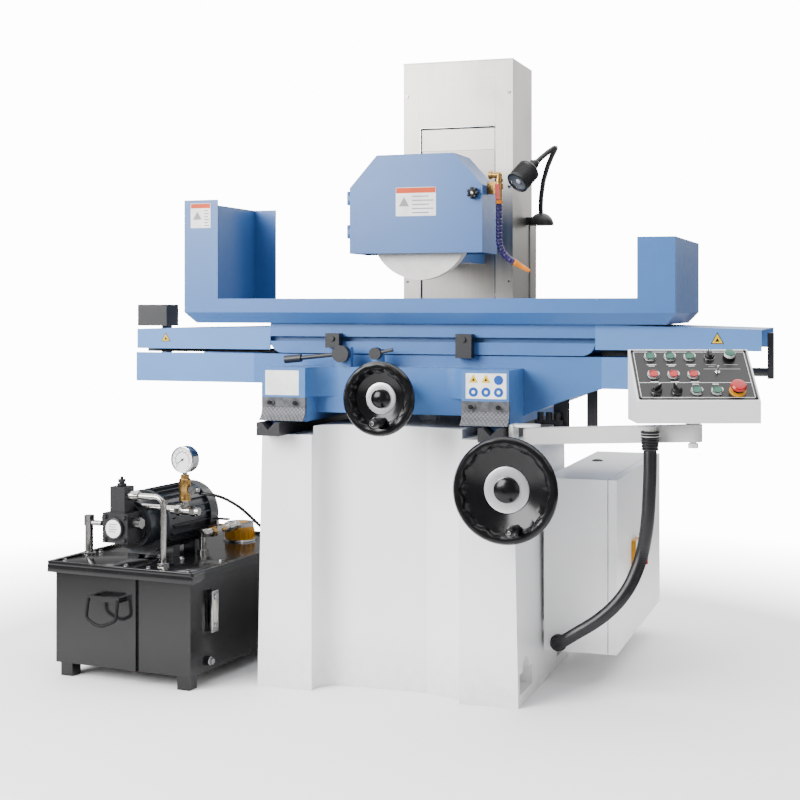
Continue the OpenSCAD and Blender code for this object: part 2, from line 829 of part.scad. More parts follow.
// Lubricant distributor on its plate under the right of the saddle
module oil_distributor() from_front() color("silver") {
  plate_x = horn_x + horn_w / 2 + 70;
  difference() {
    union() {
      block([plate_x, 210, slab_z - 118], [plate_x + 44, 216, slab_z - 30]);
      block([slab_right - 60, 240, slab_z - 140], [slab_right - 30, 246, slab_z - 5]);
    }
    translate([0, 0, -seat]) saddle_slab();
  }
  for (k = [0 : 2]) translate([plate_x - 34 + 24 * k, 196, slab_z - 92]) upright(9, 22);
  block([plate_x - 50, 190, slab_z - 104], [plate_x + 30, 210, slab_z - 92]);
}

// ---- Handwheels ----

// Dished wheel with its hub, ring and the shaft behind it, centred on its axis and facing -Y
module handwheel(d, ring_d, hub_d, shaft_l) {
  r = d / 2;
  rotate([90, 0, 0]) rotate_extrude($fn = 96) polygon([
    [0, -14], [ring_d / 2, -14], [r * 0.74, 4], [r - 16, 10], [r - 16, 24], [r * 0.7, 12],
    [ring_d / 2, -2], [hub_d / 2, 0], [hub_d / 2, 8], [0, 16]]);
  rotate([90, 0, 0]) rotate_extrude($fn = 96) translate([r - 14, 16]) circle(13.9, $fn = 48);
  translate([0, 10, 0]) along_y(shaft_d / 2, shaft_l);
  translate([0, 12, 0]) along_y(ring_d / 2, 20);
}

grip_inset = 40;
module grip_stem(d, angle) rotate([0, -angle, 0]) translate([d / 2 - grip_inset, -10, 0]) children();
module grip_pin() translate([0, -grip_l - 10, 0]) along_y(5, grip_l + 15);

cross_y = -117;
lift_y = -109;
cross_grip_a = -80;
lift_grip_a = -72;

module cross_handwheel() from_front() color([0.06, 0.06, 0.06]) translate([cross_x, cross_y, cross_z]) {
  handwheel(cross_d, 85, 53, 580);
  grip_stem(cross_d, cross_grip_a) grip_pin();
  translate([0, 32, 0]) along_y(46, 120);
}

module cross_grip() from_front() color("black") translate([cross_x, cross_y, cross_z])
  grip_stem(cross_d, cross_grip_a) grip_body();

module grip_body() translate([0, -8, 0]) rotate([90, 0, 0]) difference() {
  rotate_extrude($fn = 48) polygon([[0, 0], [9, 0], [11, 20], [14, grip_l - 26], [12, grip_l - 8],
    [6, grip_l], [0, grip_l]]);
  translate([0, 0, -1]) upright(5 + fit, grip_l + 4);
}

module elevating_handwheel() from_front() color([0.06, 0.06, 0.06])
  translate([lift_x, lift_y, lift_z]) {
    handwheel(lift_d, 122, 69, 90);
    grip_stem(lift_d, lift_grip_a) grip_pin();
  }

module elevating_grip() from_front() color("black") translate([lift_x, lift_y, lift_z])
  grip_stem(lift_d, lift_grip_a) grip_body();

// ---- Table ----

module table_profile() {
  r = 38;
  h = table_h;
  translate([table_left, r]) square([table_l, h - r]);
  translate([table_left + r, 0]) square([table_l - 2 * r, h]);
  for (x = [table_left + r, table_right - r]) translate([x, r]) circle(r, $fn = 64);
}

module table_casting() from_front() color("steelblue") translate([0, 0, table_z]) difference() {
  union() {
    prism_y(front_y, table_w) table_profile();
    for (y = [-130, 130]) translate([0, table_y + y, 0]) prism_x(table_left + 40, table_l - 80)
      polygon([[-17, 1], [-17, -3 + gap], [0, -20 + gap], [17, -3 + gap], [17, 1]]);
  }
  for (y = [-80, 0, 80]) translate([0, table_y + y, table_h]) prism_x(table_left - 1, table_l + 2)
    polygon([[-slot_w / 2, 1], [-slot_w / 2, -14], [-12, -14], [-12, -24], [12, -24], [12, -14],
      [slot_w / 2, -14], [slot_w / 2, 1]]);
  translate([table_left - 1, front_y - 1, 34]) cube([table_l + 2, 13, 14]);
  translate([table_left - 1, front_y + 10, 29]) cube([table_l + 2, 12, 24]);
  block([table_left + 50, front_y + 50, -1], [table_right - 50, table_y - 160, 40]);
}

// Covers over the ends of the table's travel
module table_covers() from_front() color("cadetblue") {
  end_cover(table_left - 435, 435, table_z + 9, table_z + 76, -1);
  end_cover(table_right, 439, table_z + 17, table_top - seat, 1);
}

module end_cover(x, l, low, high, side) {
  difference() {
    prism_y(front_y, table_w) polygon(side < 0
      ? [[x, low], [x + l, low], [x + l, high], [x, high - 9]]
      : [[x, low], [x + l, low], [x + l, high - 12], [x, high]]);
    translate([0, sheet, -sheet]) prism_y(front_y, table_w - 2 * sheet) polygon(side < 0
      ? [[x - 1, low - 1], [x + l + 1, low - 1], [x + l + 1, high], [x - 1, high - 9]]
      : [[x - 1, low - 1], [x + l + 1, low - 1], [x + l + 1, high - 12], [x - 1, high]]);
  }
}

// Long tray on the table with a chamfered foot, open in the middle for the chuck
module splash_guard() from_front() color("steelblue") {
  left = guard_x - guard_l / 2;
  right = guard_x + guard_l / 2;
  near = table_y - guard_w / 2;
  far = near + guard_w;
  wall_top = table_top + guard_wall;
  difference() {
    tray_block(left, right, near, far, wall_top, 0);
    tray_block(left, right, near, far, wall_top + 1, sheet);
    block([table_x - chuck_l / 2 - 6, table_y - chuck_w / 2 - 6, table_top - 1],
      [table_x + chuck_l / 2 + 6, table_y + chuck_w / 2 + 6, table_top + 10]);
  }
  wing(left, near, far, wall_top, table_top + left_wing, 108, 78, 1);
  wing(right, near, far, wall_top, table_top + right_wing, 101, 78, -1);
}

module tray_block(left, right, near, far, high, wall) {
  in = 27;
  fold = table_top + 31;
  low = table_top + (wall > 0 ? sheet : 0);
  intersection() {
    prism_y(near + wall, far - near - 2 * wall) polygon([[left + in + wall, low], [right - in - wall, low],
      [right - wall, fold], [right - wall, high], [left + wall, high], [left + wall, fold]]);
    prism_x(left + wall, right - left - 2 * wall) polygon([[near + in + wall, low], [far - in - wall, low],
      [far - wall, fold], [far - wall, high], [near + wall, high], [near + wall, fold]]);
  }
}

// Upright end screen, bent from one sheet into a U seen from above
module wing(x, near, far, low, high, front_l, back_l, side) {
  mirror([side > 0 ? 0 : 1, 0, 0]) translate([side * x, 0, 0]) {
    block([0, near, low], [sheet, far, high]);
    block([0, near, low], [front_l, near + sheet, high]);
    block([0, far - sheet, low], [back_l, far, high]);
  }
}

module magnetic_chuck() from_front() color("lightgray") {
  low = [table_x - chuck_l / 2, table_y - chuck_w / 2, table_top];
  block(low, low + [chuck_l, chuck_w, chuck_h]);
}

// Long piston rod with its end brackets under the covers
module piston_rod() from_front() color([0.2, 0.2, 0.2]) {
  low = table_left - 435;
  high = table_right + 439;
  translate([low, table_y, rod_z]) along_x(rod_r, high - low);
  translate([slab_x + 30, table_y, rod_z]) along_x(piston_r, 40);
  block([low - 15, table_y - 20, rod_z - 18], [low, table_y + 20, table_z + 55]);
  block([high, table_y - 20, rod_z - 18], [high + 15, table_y + 20, table_z + 62]);
  block([low - 78, table_y - 60, table_z + 74], [low + 22, table_y + 20, table_z + 140]);
  block([low - 15, table_y - 20, table_z + 55], [low, table_y + 20, table_z + 74]);
}

// Trip dog in the table's front slot
module dog(x, w, low, high) {
  block([x - w / 2, front_y - 30, low], [x + w / 2, front_y - seat, high]);
  block([x - 14, front_y - 1, table_z + 34 + seat], [x + 14, front_y + 12.4, table_z + 48 - seat]);
  block([x - 14, front_y + 12.4, table_z + 29.5], [x + 14, front_y + 20, table_z + 52.5]);
  translate([x, front_y - 36, table_z + 43]) along_y(7, 6);
}

dog_left = -193;
dog_right = 196;
module left_dog() from_front() color([0.08, 0.08, 0.08]) dog(dog_left, 42, table_z + 17, table_z + 58);
module right_dog() from_front() color([0.08, 0.08, 0.08]) dog(dog_right, 46, table_z - 9, table_z + 58);

// ---- Wheel head ----

module head_casting() from_front() color("steelblue") difference() {
  union() {
    block([-90, hood_y + hood_d, spindle_z - 96], [90, column_y + 60, spindle_z + 96]);
    block([-slot_half + 3, column_y + 8, base_h + 78], [slot_half - 3, column_y + 12, column_top - 217]);
    block([-slot_half - 4.5, column_y + 56, spindle_z - 150], [slot_half + 4.5, column_y + 80, spindle_z + 150]);
    block([80, column_y + 80, spindle_z - 60], [125, screw_y + 18, spindle_z + 20]);
  }
  translate([0, hood_y + hood_d - 1, spindle_z]) along_y(spindle_d / 2 + fit, column_y + 90);
  translate([screw_x, screw_y, spindle_z - 61]) upright(screw_d / 2 + fit, 90);
}

module hood_outline(inset) {
  w = hood_w / 2 - inset;
  cx = hood_chamfer.x;
  cy = hood_chamfer.y;
  k = inset * 0.42;
  translate([-3, 0]) polygon([[-w, hood_z - (inset > 0 ? 1 : 0)], [w, hood_z - (inset > 0 ? 1 : 0)],
    [w, hood_top - cy + k - inset], [w - cx + k, hood_top - inset], [cx - k - w, hood_top - inset],
    [-w, hood_top - cy + k - inset]]);
}

door_y = hood_y + 12;
hood_wall = 6;

// Guard shell, open below and in front
module wheel_guard() from_front() color("steelblue") {
  difference() {
    prism_y(door_y + seat, hood_d - 12 - seat) hood_outline(0);
    prism_y(door_y - 1, hood_d - 12 - hood_wall) hood_outline(hood_wall);
    translate([0, hood_y + hood_d - 20, spindle_z]) along_y(60, 40);
  }
  door_hinges(true);
}

door_hinge_x = -hood_w / 2 - 3 - 6;
module door_hinges(fixed) {
  for (z = [hood_z + 46, hood_top - 145])
    translate([door_hinge_x, door_y - 4, z]) {
      if (fixed) {
        for (k = [0, 28]) translate([0, 0, k]) {
          upright(5, 12);
          block([0, 4 + seat, 0], [6.5, 20, 12]);
          block([-5, 0, 0], [0, 20, 12]);
          block([-5, 14, 0], [6, 20, 12]);
        }
        upright(2.5, 40);
      } else {
        difference() {
          union() {
            translate([0, 0, 12.3]) upright(5, 15.4);
            block([0, -5, 12.3], [7, 0, 27.7]);
          }
          upright(2.5 + fit, 40);
        }
      }
    }
}

knob_x = 176;
knob_z = spindle_z + 98;

module guard_door() from_front() color("steelblue") {
  difference() {
    prism_y(hood_y, 12) hood_outline(0);
    prism_y(hood_y + 3, 12) hood_outline(10);
    translate([knob_x, hood_y - 1, knob_z]) along_y(5 + fit, 20);
  }
  door_hinges(false);
}

module door_knob() from_front() color([0.1, 0.1, 0.1]) translate([knob_x, 0, knob_z]) {
  translate([0, hood_y - 16, 0]) along_y(5, 30);
  translate([0, hood_y - 24, 0]) along_y(18, 23);
  translate([-5, hood_y + 6, -22]) cube([10, 3, 27]);
}

module spindle() from_front() color("lightsteelblue") translate([0, 0, spindle_z]) {
  translate([0, wheel_y + wheel_t, 0]) along_y(spindle_d / 2, column_y - wheel_y - wheel_t + 84);
  translate([0, column_y + 80 + 0.6, 0]) along_y(18, 118);
  translate([0, wheel_y - 24, 0]) along_y(16, wheel_t + 30);
  translate([0, wheel_y + wheel_t, 0]) along_y(48, 14);
  translate([0, wheel_y - 12, 0]) along_y(48, 12);
}

module grinding_wheel() from_front() color("ivory") difference() {
  translate([0, wheel_y, spindle_z]) along_y(wheel_d / 2, wheel_t);
  translate([0, wheel_y - 1, spindle_z]) along_y(16, wheel_t + 2);
}

module spindle_motor() from_front() color("dimgray") difference() {
  translate([0, column_y + 80, spindle_z]) along_y(75, 126);
  translate([0, column_y + 79, spindle_z]) along_y(spindle_d / 2 + 1, 6);
  translate([0, column_y + 79, spindle_z]) along_y(18 + fit, 122);
}

// Middle leaf of the way cover: it moves half as far as the head
module telescopic_cover() from_front() color("silver")
  block([-slot_half + 2, column_y + 5.4, column_top - 286], [slot_half - 2, column_y + 7.4, column_top - 157]);

// ---- Coolant and lamp ----

valve_x = hood_w / 2 + 31;
valve_y = hood_y + 60;
valve_z = spindle_z + 118;

module coolant_valve() from_front() color("goldenrod") translate([valve_x, valve_y, valve_z])
  difference() {
    union() {
      block([-34, -8, -22], [-3, 8, 14]);
      translate([0, 0, -40]) upright(9, 62);
      translate([0, 0, -8]) upright(12.5, 16);
      translate([0, 0, 14]) upright(12, 8);
      translate([-24, 0, 34]) along_x(9, 24);
      translate([0, 0, 22]) upright(9, 12);
      translate([0, 0, 34]) sphere(9, $fn = 48);
      translate([-30, 0, 34]) along_x(12, 9);
    }
    translate([0, -14, 0]) along_y(4 + fit, 18);
  }

module coolant_lever() from_front() color("red") translate([valve_x, valve_y, valve_z]) {
  translate([0, -17, 0]) along_y(4, 20);
  block([-6, -20, -38], [6, -17, 6]);
}

// Jointed hose: a chain of round links, straight down and then round to an angled nozzle
hose_link = 20;
hose_drop = 6;
hose_turn = 15;
module coolant_hose() from_front() color("mediumslateblue")
  translate([valve_x, valve_y, valve_z - 40 - seat]) {
    for (k = [0 : hose_drop - 1]) translate([0, 0, -hose_link * k]) link();
    translate([0, 0, -hose_link * hose_drop]) links_round(4);
  }

module link() {
  translate([0, 0, 6 - hose_link]) upright(9.5, hose_link - 6);
  translate([0, 0, -hose_link - 0.5]) upright(7, 7);
}

module links_round(n) {
  if (n > 0) rotate([0, -hose_turn, 0]) {
    link();
    translate([0, 0, -hose_link]) links_round(n - 1);
  } else {
    translate([0, 0, -52]) cylinder(r1 = 4.5, r2 = 9.5, h = 52, $fn = 32);
  }
}

// Work lamp on the column's right side: a gooseneck that rises and comes round to the front
lamp_base = [shroud_w / 2, column_y + 192, step_z - 6];
lamp_r = 8;
lamp_route = [for (p = [[46, 3, 34], [46, 0, 60], [50, -12, 93], [62, -32, 142], [81, -57, 185],
  [102, -82, 219], [115, -99, 234], [121, -115, 240], [119, -130, 238], [110, -147, 228],
  [95, -175, 209], [84, -198, 193], [77, -212, 184]]) lamp_base + p];
lamp_tip = lamp_route[len(lamp_route) - 1];
lamp_ball = 11;
lamp_lean = [-48.2, 0, -35.6];

module lamp_neck() from_front() color([0.08, 0.08, 0.08]) {
  translate(lamp_base) block([0, -16, 2], [48, 16, 26]);
  translate(lamp_base + [48, 0, 0]) intersection() {
    sphere(41, $fn = 64);
    block([-42, -42, 0], [42, 42, 42]);
  }
  tube(lamp_route, lamp_r, 10);
  translate(lamp_tip) sphere(lamp_ball, $fn = 48);
}

// Lamp head with its lens facing the work, on the ball at the neck's end
module lamp_head() from_front() color([0.08, 0.08, 0.08]) translate(lamp_tip) rotate(lamp_lean) {
  difference() {
    union() {
      translate([0, 0, -100]) upright(37, 66);
      translate([0, 0, -34]) cylinder(r1 = 37, r2 = 15, h = 16, $fn = 64);
      translate([0, 0, -20]) upright(15, 17);
      for (x = [-16.5, 12.5]) {
        translate([x, 0, 0]) along_x(6, 4);
        block([x, -6, -16], [x + 4, 6, 0]);
      }
    }
    translate([0, 0, -101]) upright(31, 6);
    sphere(lamp_ball + seat, $fn = 48);
  }
}

// ---- Pendant ----

module pendant_arm() from_front() color("lightgray") {
  translate([arm_root.x, arm_root.y, 0]) rotate([0, 0, arm_angle]) {
    difference() {
      union() {
        prism_y(-arm_w / 2, arm_w) polygon([[0, arm_z], [arm_l, arm_z + arm_rise],
          [arm_l, arm_z + arm_rise + arm_h], [0, arm_z + arm_h]]);
        translate([0, 0, arm_z]) upright(arm_w / 2, arm_h);
        translate([arm_l, 0, arm_z + arm_rise]) upright(arm_w / 2, arm_h);
      }
      prism_y(4 - arm_w / 2, arm_w - 8) polygon([[26, arm_z - 4], [arm_l - 26, arm_z + arm_rise - 4],
        [arm_l - 26, arm_z + arm_rise + arm_h - 4], [26, arm_z + arm_h - 4]]);
      translate([0, 0, arm_z - 1]) upright(arm_pin / 2 + fit, arm_h + 2);
      translate([arm_l, 0, arm_z - 1]) upright(arm_pin / 2 + fit, arm_h + arm_rise + 10);
    }
  }
  pendant_gland();
}

// Gland on a tab at the arm's front side, where the conduit begins
module pendant_gland() {
  at = conduit_route[0];
  translate([at.x, at.y, at.z]) {
    upright(conduit_d / 2 + 5, 18);
    translate([0, 0, 18]) upright(conduit_d / 2 - 2, 12);
    rotate([0, 0, arm_angle]) block([-16, 0, 2], [16, 36, 14]);
  }
}

module pendant_place() from_front() translate([arm_end.x, arm_end.y, pendant_z])
  rotate([0, 0, pendant_turn]) children();

// Middle of the sloping panel, z out of the panel
module on_slope() translate([0, 0, (pendant_front + pendant_rear) / 2]) rotate([slope_a, 0, 0])
  children();
module on_panel() pendant_place() on_slope() children();

module pendant_profile(t) polygon([[t - pendant_d / 2, t], [pendant_d / 2 - t, t],
  [pendant_d / 2 - t, pendant_rear - 2.1 * t], [t - pendant_d / 2, pendant_front - t * 0.6]]);

module pendant_box() pendant_place() color("whitesmoke") {
  difference() {
    union() {
      prism_x(-pendant_w / 2, pendant_w) pendant_profile(0);
      on_slope() for (c = control_places) translate([c.x, c.y, -1]) upright(c[2] + 4, 6);
      on_slope() translate([2 * col_pitch, row_up, -1]) upright(14, 19);
      translate([0, 0, -6]) upright(20, 7);
    }
    prism_x(4 - pendant_w / 2, pendant_w - 8) pendant_profile(4);
    on_slope() for (c = control_places) translate([c.x, c.y, -14]) upright(c[2] + seat, 30);
  }
  translate([0, 0, -arm_h - 24]) upright(arm_pin / 2, arm_h + 18);
  translate([0, 0, -arm_h - 24]) cylinder(r = 13, h = 12, $fn = 6);
}

cap_r = button_d / 2;
stop_r = 12;
knob_r = 9;
control_places = concat(
  [for (k = [-2 : 0]) [k * col_pitch, row_up, cap_r]],
  [for (k = [-2 : 0]) [k * col_pitch, row_mid, cap_r]],
  [for (k = [0, 1]) [k * col_pitch, row_low, cap_r]],
  [[-2 * col_pitch, row_low, knob_r], [-col_pitch, row_low, knob_r],
   [col_pitch, row_up, knob_r], [2 * col_pitch, row_low, stop_r]]
);

// Spring-loaded cap that rides in its panel hole
module push_button(k) on_panel() translate([control_places[k].x, control_places[k].y, 0]) {
  translate([0, 0, -12]) upright(cap_r, 21);
}

module turn_knob(k, r, h) on_panel() translate([control_places[k].x, control_places[k].y, 0]) {
  translate([0, 0, -12]) upright(knob_r, 17 + seat);
  translate([0, 0, 5 + seat]) upright(r, 7);
  translate([-r + 1, -4, 5 + seat]) cube([2 * r - 2, 8, h]);
}

module start_button_1() color("green") push_button(0);
module start_button_2() color("green") push_button(1);
module start_button_3() color("green") push_button(2);
module stop_button_1() color("red") push_button(3);
module stop_button_2() color("red") push_button(4);
module stop_button_3() color("red") push_button(5);
module jog_button_1() color("green") push_button(6);
module jog_button_2() color("green") push_button(7);
module feed_selector() color("black") turn_knob(8, 14, 18);
module mode_selector() color("black") turn_knob(9, 14, 18);
module speed_knob() color("black") turn_knob(10, 13, 16);

module emergency_stop() color("red") on_panel() translate([2 * col_pitch, row_low, 0]) {
  translate([0, 0, -12]) upright(stop_r, 30);
  translate([0, 0, 16]) upright(20, 12);
}

base_casting();
base_ways();
column_casting();
column_shroud();
elevating_screw();
cabinet_shell();
cabinet_door();
isolator_knob();
conduit();
hydraulic_tank();
pump_motor();
pump_coupling();
vane_pump();
hydraulic_pipes();
hydraulic_hoses();
saddle_casting();
saddle_covers();
way_wipers();
table_cylinder();
oil_distributor();
reversing_lever();
start_lever();
cross_handwheel();
cross_grip();
table_casting();
table_covers();
splash_guard();
magnetic_chuck();
piston_rod();
left_dog();
right_dog();
elevating_handwheel();
elevating_grip();
head_casting();
wheel_guard();
guard_door();
door_knob();
spindle();
grinding_wheel();
spindle_motor();
telescopic_cover();
coolant_valve();
coolant_lever();
coolant_hose();
lamp_neck();
lamp_head();
pendant_arm();
pendant_box();
start_button_1();
start_button_2();
start_button_3();
stop_button_1();
stop_button_2();
stop_button_3();
jog_button_1();
jog_button_2();
feed_selector();
mode_selector();
speed_knob();
emergency_stop();
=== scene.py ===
import json
import math
import bpy
import bmesh
from mathutils import Matrix, Vector


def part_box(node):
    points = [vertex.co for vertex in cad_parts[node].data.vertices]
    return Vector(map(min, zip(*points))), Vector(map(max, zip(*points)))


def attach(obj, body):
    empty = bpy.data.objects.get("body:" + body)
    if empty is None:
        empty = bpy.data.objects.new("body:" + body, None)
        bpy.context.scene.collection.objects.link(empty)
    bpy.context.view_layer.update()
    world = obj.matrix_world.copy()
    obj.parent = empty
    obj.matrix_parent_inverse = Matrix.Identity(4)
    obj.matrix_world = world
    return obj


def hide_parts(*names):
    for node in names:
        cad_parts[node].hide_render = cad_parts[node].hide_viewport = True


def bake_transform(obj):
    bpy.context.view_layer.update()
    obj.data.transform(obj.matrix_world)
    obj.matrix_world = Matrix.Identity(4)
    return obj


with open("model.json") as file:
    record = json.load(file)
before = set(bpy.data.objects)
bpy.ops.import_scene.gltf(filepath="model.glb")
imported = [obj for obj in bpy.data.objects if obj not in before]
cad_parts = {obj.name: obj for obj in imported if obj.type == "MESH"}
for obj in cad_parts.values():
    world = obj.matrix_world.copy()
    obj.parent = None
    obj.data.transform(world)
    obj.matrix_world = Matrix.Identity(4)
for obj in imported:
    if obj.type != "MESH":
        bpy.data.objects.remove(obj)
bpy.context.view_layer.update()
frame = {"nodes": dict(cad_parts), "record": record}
nodes = frame["nodes"]

# Sizes are in millimetres, counted from the base's front plane; the row frame starts at the anchor middle
anchorMid = 320


def place(x, y, z):
    return Vector((x, y - anchorMid, z)) / 1000


def shift(x, y, z):
    return Matrix.Translation(place(x, y, z))


def turn(degrees, axis):
    return Matrix.Rotation(math.radians(degrees), 4, axis)


# Camera at eye height, to the right of the machine
view = {"at": (1318.7, -3803, 1075), "turn": 18.5, "lens": 66.06, "shift": -0.119}
camera = bpy.data.objects.new("camera", bpy.data.cameras.new("camera"))
camera.data.lens = view["lens"]
camera.data.sensor_width = 36
camera.data.shift_y = view["shift"]
camera.location = place(*view["at"])
camera.rotation_euler = (math.radians(90), 0, math.radians(view["turn"]))
bpy.context.scene.collection.objects.link(camera)
bpy.context.scene.camera = camera


# Materials: a socket that can be used in sums
class Wire:
    def __init__(self, shade, socket):
        self.shade = shade
        self.socket = socket

    def math(self, operation, *others):
        values = dict(enumerate((self,) + others))
        return self.shade.node("ShaderNodeMath", {"operation": operation}, values)

    def __add__(self, other):
        return self.math("ADD", other)

    __radd__ = __add__

    def __mul__(self, other):
        return self.math("MULTIPLY", other)

    __rmul__ = __mul__

    def __sub__(self, other):
        return self.math("SUBTRACT", other)

    def __rsub__(self, other):
        return self * -1 + other

    def __truediv__(self, other):
        return self.math("DIVIDE", other)

    def __gt__(self, other):
        return self.math("GREATER_THAN", other)

    def clamp(self, low=0.0, high=1.0):
        return self.math("MAXIMUM", low).math("MINIMUM", high)

    # 0 below low, 1 above high
    def rise(self, low, high):
        return ((self - low) / (high - low)).clamp()


class Shade:
    def __init__(self, name, rough=0.5, metal=0.0, coat=0.0, coatRough=0.1, specular=0.4):
        self.material = bpy.data.materials.new(name)
        self.material.use_nodes = True
        self.tree = self.material.node_tree
        self.shader = self.tree.nodes["Principled BSDF"]
        fixed = {"Roughness": rough, "Metallic": metal, "Coat Weight": coat,
                 "Coat Roughness": coatRough, "Specular IOR Level": specular}
        for socket, value in fixed.items():
            self.shader.inputs[socket].default_value = value
        self.point = self.node("ShaderNodeTexCoord", out="Object")

    def node(self, kind, settings=None, values=None, out=0):
        made = self.tree.nodes.new(kind)
        for key, value in (settings or {}).items():
            if key == "stops":
                for stop, (at, colour) in zip(made.color_ramp.elements, value):
                    stop.position = at
                    stop.color = colour
            else:
                setattr(made, key, value)
        for key, value in (values or {}).items():
            if isinstance(value, Wire):
                self.tree.links.new(value.socket, made.inputs[key])
            else:
                made.inputs[key].default_value = value
        return Wire(self, made.outputs[out])

    def stretched(self, scale, turned=(0, 0, 0)):
        return self.node("ShaderNodeMapping", None, {
            "Vector": self.point, "Scale": scale, "Rotation": [math.radians(a) for a in turned]})

    def noise(self, scale, detail=3.0, vector=None, rough=0.5):
        return self.node("ShaderNodeTexNoise", None, {
            "Vector": vector or self.point, "Scale": scale, "Detail": detail, "Roughness": rough})

    def axis(self, name):
        return self.node("ShaderNodeSeparateXYZ", None, {"Vector": self.point}, name)

    def blend(self, amount, first, second):
        pair = [(*c, 1.0) if isinstance(c, tuple) else c for c in (first, second)]
        return self.node("ShaderNodeMix", {"data_type": "RGBA"},
                         {0: amount, 6: pair[0], 7: pair[1]}, 2)

    def bump(self, height, depth, below=None):
        values = {"Height": height, "Distance": depth, "Strength": 1.0}
        if below:
            values["Normal"] = below
        return self.node("ShaderNodeBump", None, values)

    def set(self, socket, value):
        if isinstance(value, Wire):
            self.tree.links.new(value.socket, self.shader.inputs[socket])
        else:
            self.shader.inputs[socket].default_value = (*value, 1.0) if isinstance(value, tuple) else value
        return self


# Sprayed paint: soft patches of tone, an orange-peel skin, and a casting's slow waves under it
def paint(name, colour, rough=0.38, cast=0.0, coat=0.25, bottomDarkening=0.0, tone=0.06):
    shade = Shade(name, rough, coat=coat, coatRough=0.18)
    patches = shade.noise(3.2, 4)
    fine = shade.noise(38, 5)
    dark = tuple(c * (1 - tone) for c in colour)
    light = tuple(min(1.0, c * (1 + tone)) for c in colour)
    base = shade.blend(patches.rise(0.35, 0.65), dark, light)
    # darker and browner towards the floor, in noisy patches, over the lowest 0.16 m
    if bottomDarkening:
        low = 1 - shade.axis("Z").rise(0.0, 0.16)
        base = shade.blend((low * fine * bottomDarkening).clamp(), base, (0.30, 0.28, 0.25))
    shade.set("Base Color", base)
    shade.set("Roughness", fine * 0.16 + (rough - 0.08))
    skin = shade.noise(620, 2)
    normal = shade.bump(skin, 0.00006)
    if cast:
        normal = shade.bump(shade.noise(26, 4), cast, normal)
    return shade.set("Normal", normal).material


# Metal with fine parallel brush marks; grain holds how dense they are along X, Y and Z
def brushed(name, colour, grain, rough=0.3, tone=0.1, depth=0.00004, stain=0.0):
    shade = Shade(name, rough, metal=1.0)
    lines = shade.noise(1.0, 4, shade.stretched(grain))
    clouds = shade.noise(4.5, 4)
    mixed = (lines * 0.6 + clouds * 0.4).rise(0.3, 0.7)
    base = shade.blend(mixed, tuple(c * (1 - tone) for c in colour), tuple(c * (1 + tone) for c in colour))
    if stain:
        base = shade.blend(clouds.rise(0.5, 0.7) * stain, base, (0.20, 0.185, 0.16))
    shade.set("Base Color", base)
    shade.set("Roughness", lines * 0.22 + clouds * 0.12 + (rough - 0.15))
    return shade.set("Normal", shade.bump(lines, depth)).material


# Moulded plastic or rubber
def moulded(name, colour, rough=0.4, coat=0.0, grain=900, depth=0.00004, tone=0.12, specular=0.4):
    shade = Shade(name, rough, coat=coat, coatRough=0.08, specular=specular)
    patches = shade.noise(22, 4)
    shade.set("Base Color", shade.blend(patches.rise(0.3, 0.7),
                                        tuple(c * (1 - tone) for c in colour),
                                        tuple(min(1.0, c * (1 + tone)) for c in colour)))
    shade.set("Roughness", patches * 0.14 + (rough - 0.07))
    return shade.set("Normal", shade.bump(shade.noise(grain, 2), depth)).material


# The wheel head: blue casting in front, a bare steel sheet on its slide
def headPaint(name, colour, steelFrom):
    shade = Shade(name, 0.36, coat=0.2, coatRough=0.2)
    behind = shade.axis("Y") > steelFrom
    clouds = shade.noise(5, 4)
    lines = shade.noise(1.0, 4, shade.stretched((260, 260, 3.5)))
    steel = shade.blend((lines * 0.6 + clouds * 0.4).rise(0.3, 0.7), (0.22, 0.21, 0.20), (0.30, 0.285, 0.265))
    front = shade.blend(clouds.rise(0.35, 0.65), tuple(c * 0.94 for c in colour), tuple(c * 1.06 for c in colour))
    shade.set("Base Color", shade.blend(behind, front, steel))
    shade.set("Metallic", behind)
    shade.set("Roughness", lines * 0.15 + 0.28)
    return shade.set("Normal", shade.bump(lines, 0.00004)).material


def castIron(name, colour, rough=0.55, depth=0.0003, metal=0.0, coat=0.0):
    shade = Shade(name, rough, metal=metal, coat=coat)
    grain = shade.noise(180, 6)
    slow = shade.noise(14, 4)
    mixed = (grain * 0.5 + slow * 0.5).rise(0.35, 0.65)
    shade.set("Base Color", shade.blend(mixed, tuple(c * 0.8 for c in colour),
                                        tuple(min(1.0, c * 1.25) for c in colour)))
    shade.set("Roughness", grain * 0.2 + (rough - 0.1))
    return shade.set("Normal", shade.bump(grain, depth)).material


# Elevating screw: ground steel with a rolled thread
def threaded(name, pitch):
    shade = Shade(name, 0.3, metal=1.0)
    turns = (shade.axis("Z") * (2 * math.pi / pitch)).math("SINE")
    # painted shade in the thread's roots and a painted highlight on its crests, following the thread
    shade.set("Base Color", shade.blend(turns.rise(-1, 1), (0.20, 0.20, 0.19), (0.62, 0.62, 0.60)))
    shade.set("Roughness", shade.noise(90, 3) * 0.2 + 0.2)
    return shade.set("Normal", shade.bump(turns, 0.0008)).material


# Chequered rubber of the way flaps
def treaded(name):
    shade = Shade(name, 0.5)
    across = shade.axis("X") + shade.axis("Z")
    along = shade.axis("X") - shade.axis("Z")
    pitch = 0.0115
    first = (across * (math.pi / pitch)).math("SINE").math("ABSOLUTE")
    second = (along * (math.pi / pitch)).math("SINE").math("ABSOLUTE")
    tread = first.math("MINIMUM", second).rise(0.12, 0.45)
    below = 1 - shade.axis("Z").rise(0.789, 0.7905)
    raised = tread * below
    worn = shade.noise(60, 4).rise(0.4, 0.75)
    # painted shade: the grooves between the raised tread are darker than the tread
    base = shade.blend(raised, (0.045, 0.046, 0.052), (0.125, 0.128, 0.14))
    shade.set("Base Color", shade.blend(worn * 0.4, base, (0.20, 0.20, 0.21)))
    shade.set("Roughness", worn * 0.25 + 0.38)
    return shade.set("Normal", shade.bump(raised, 0.0011)).material


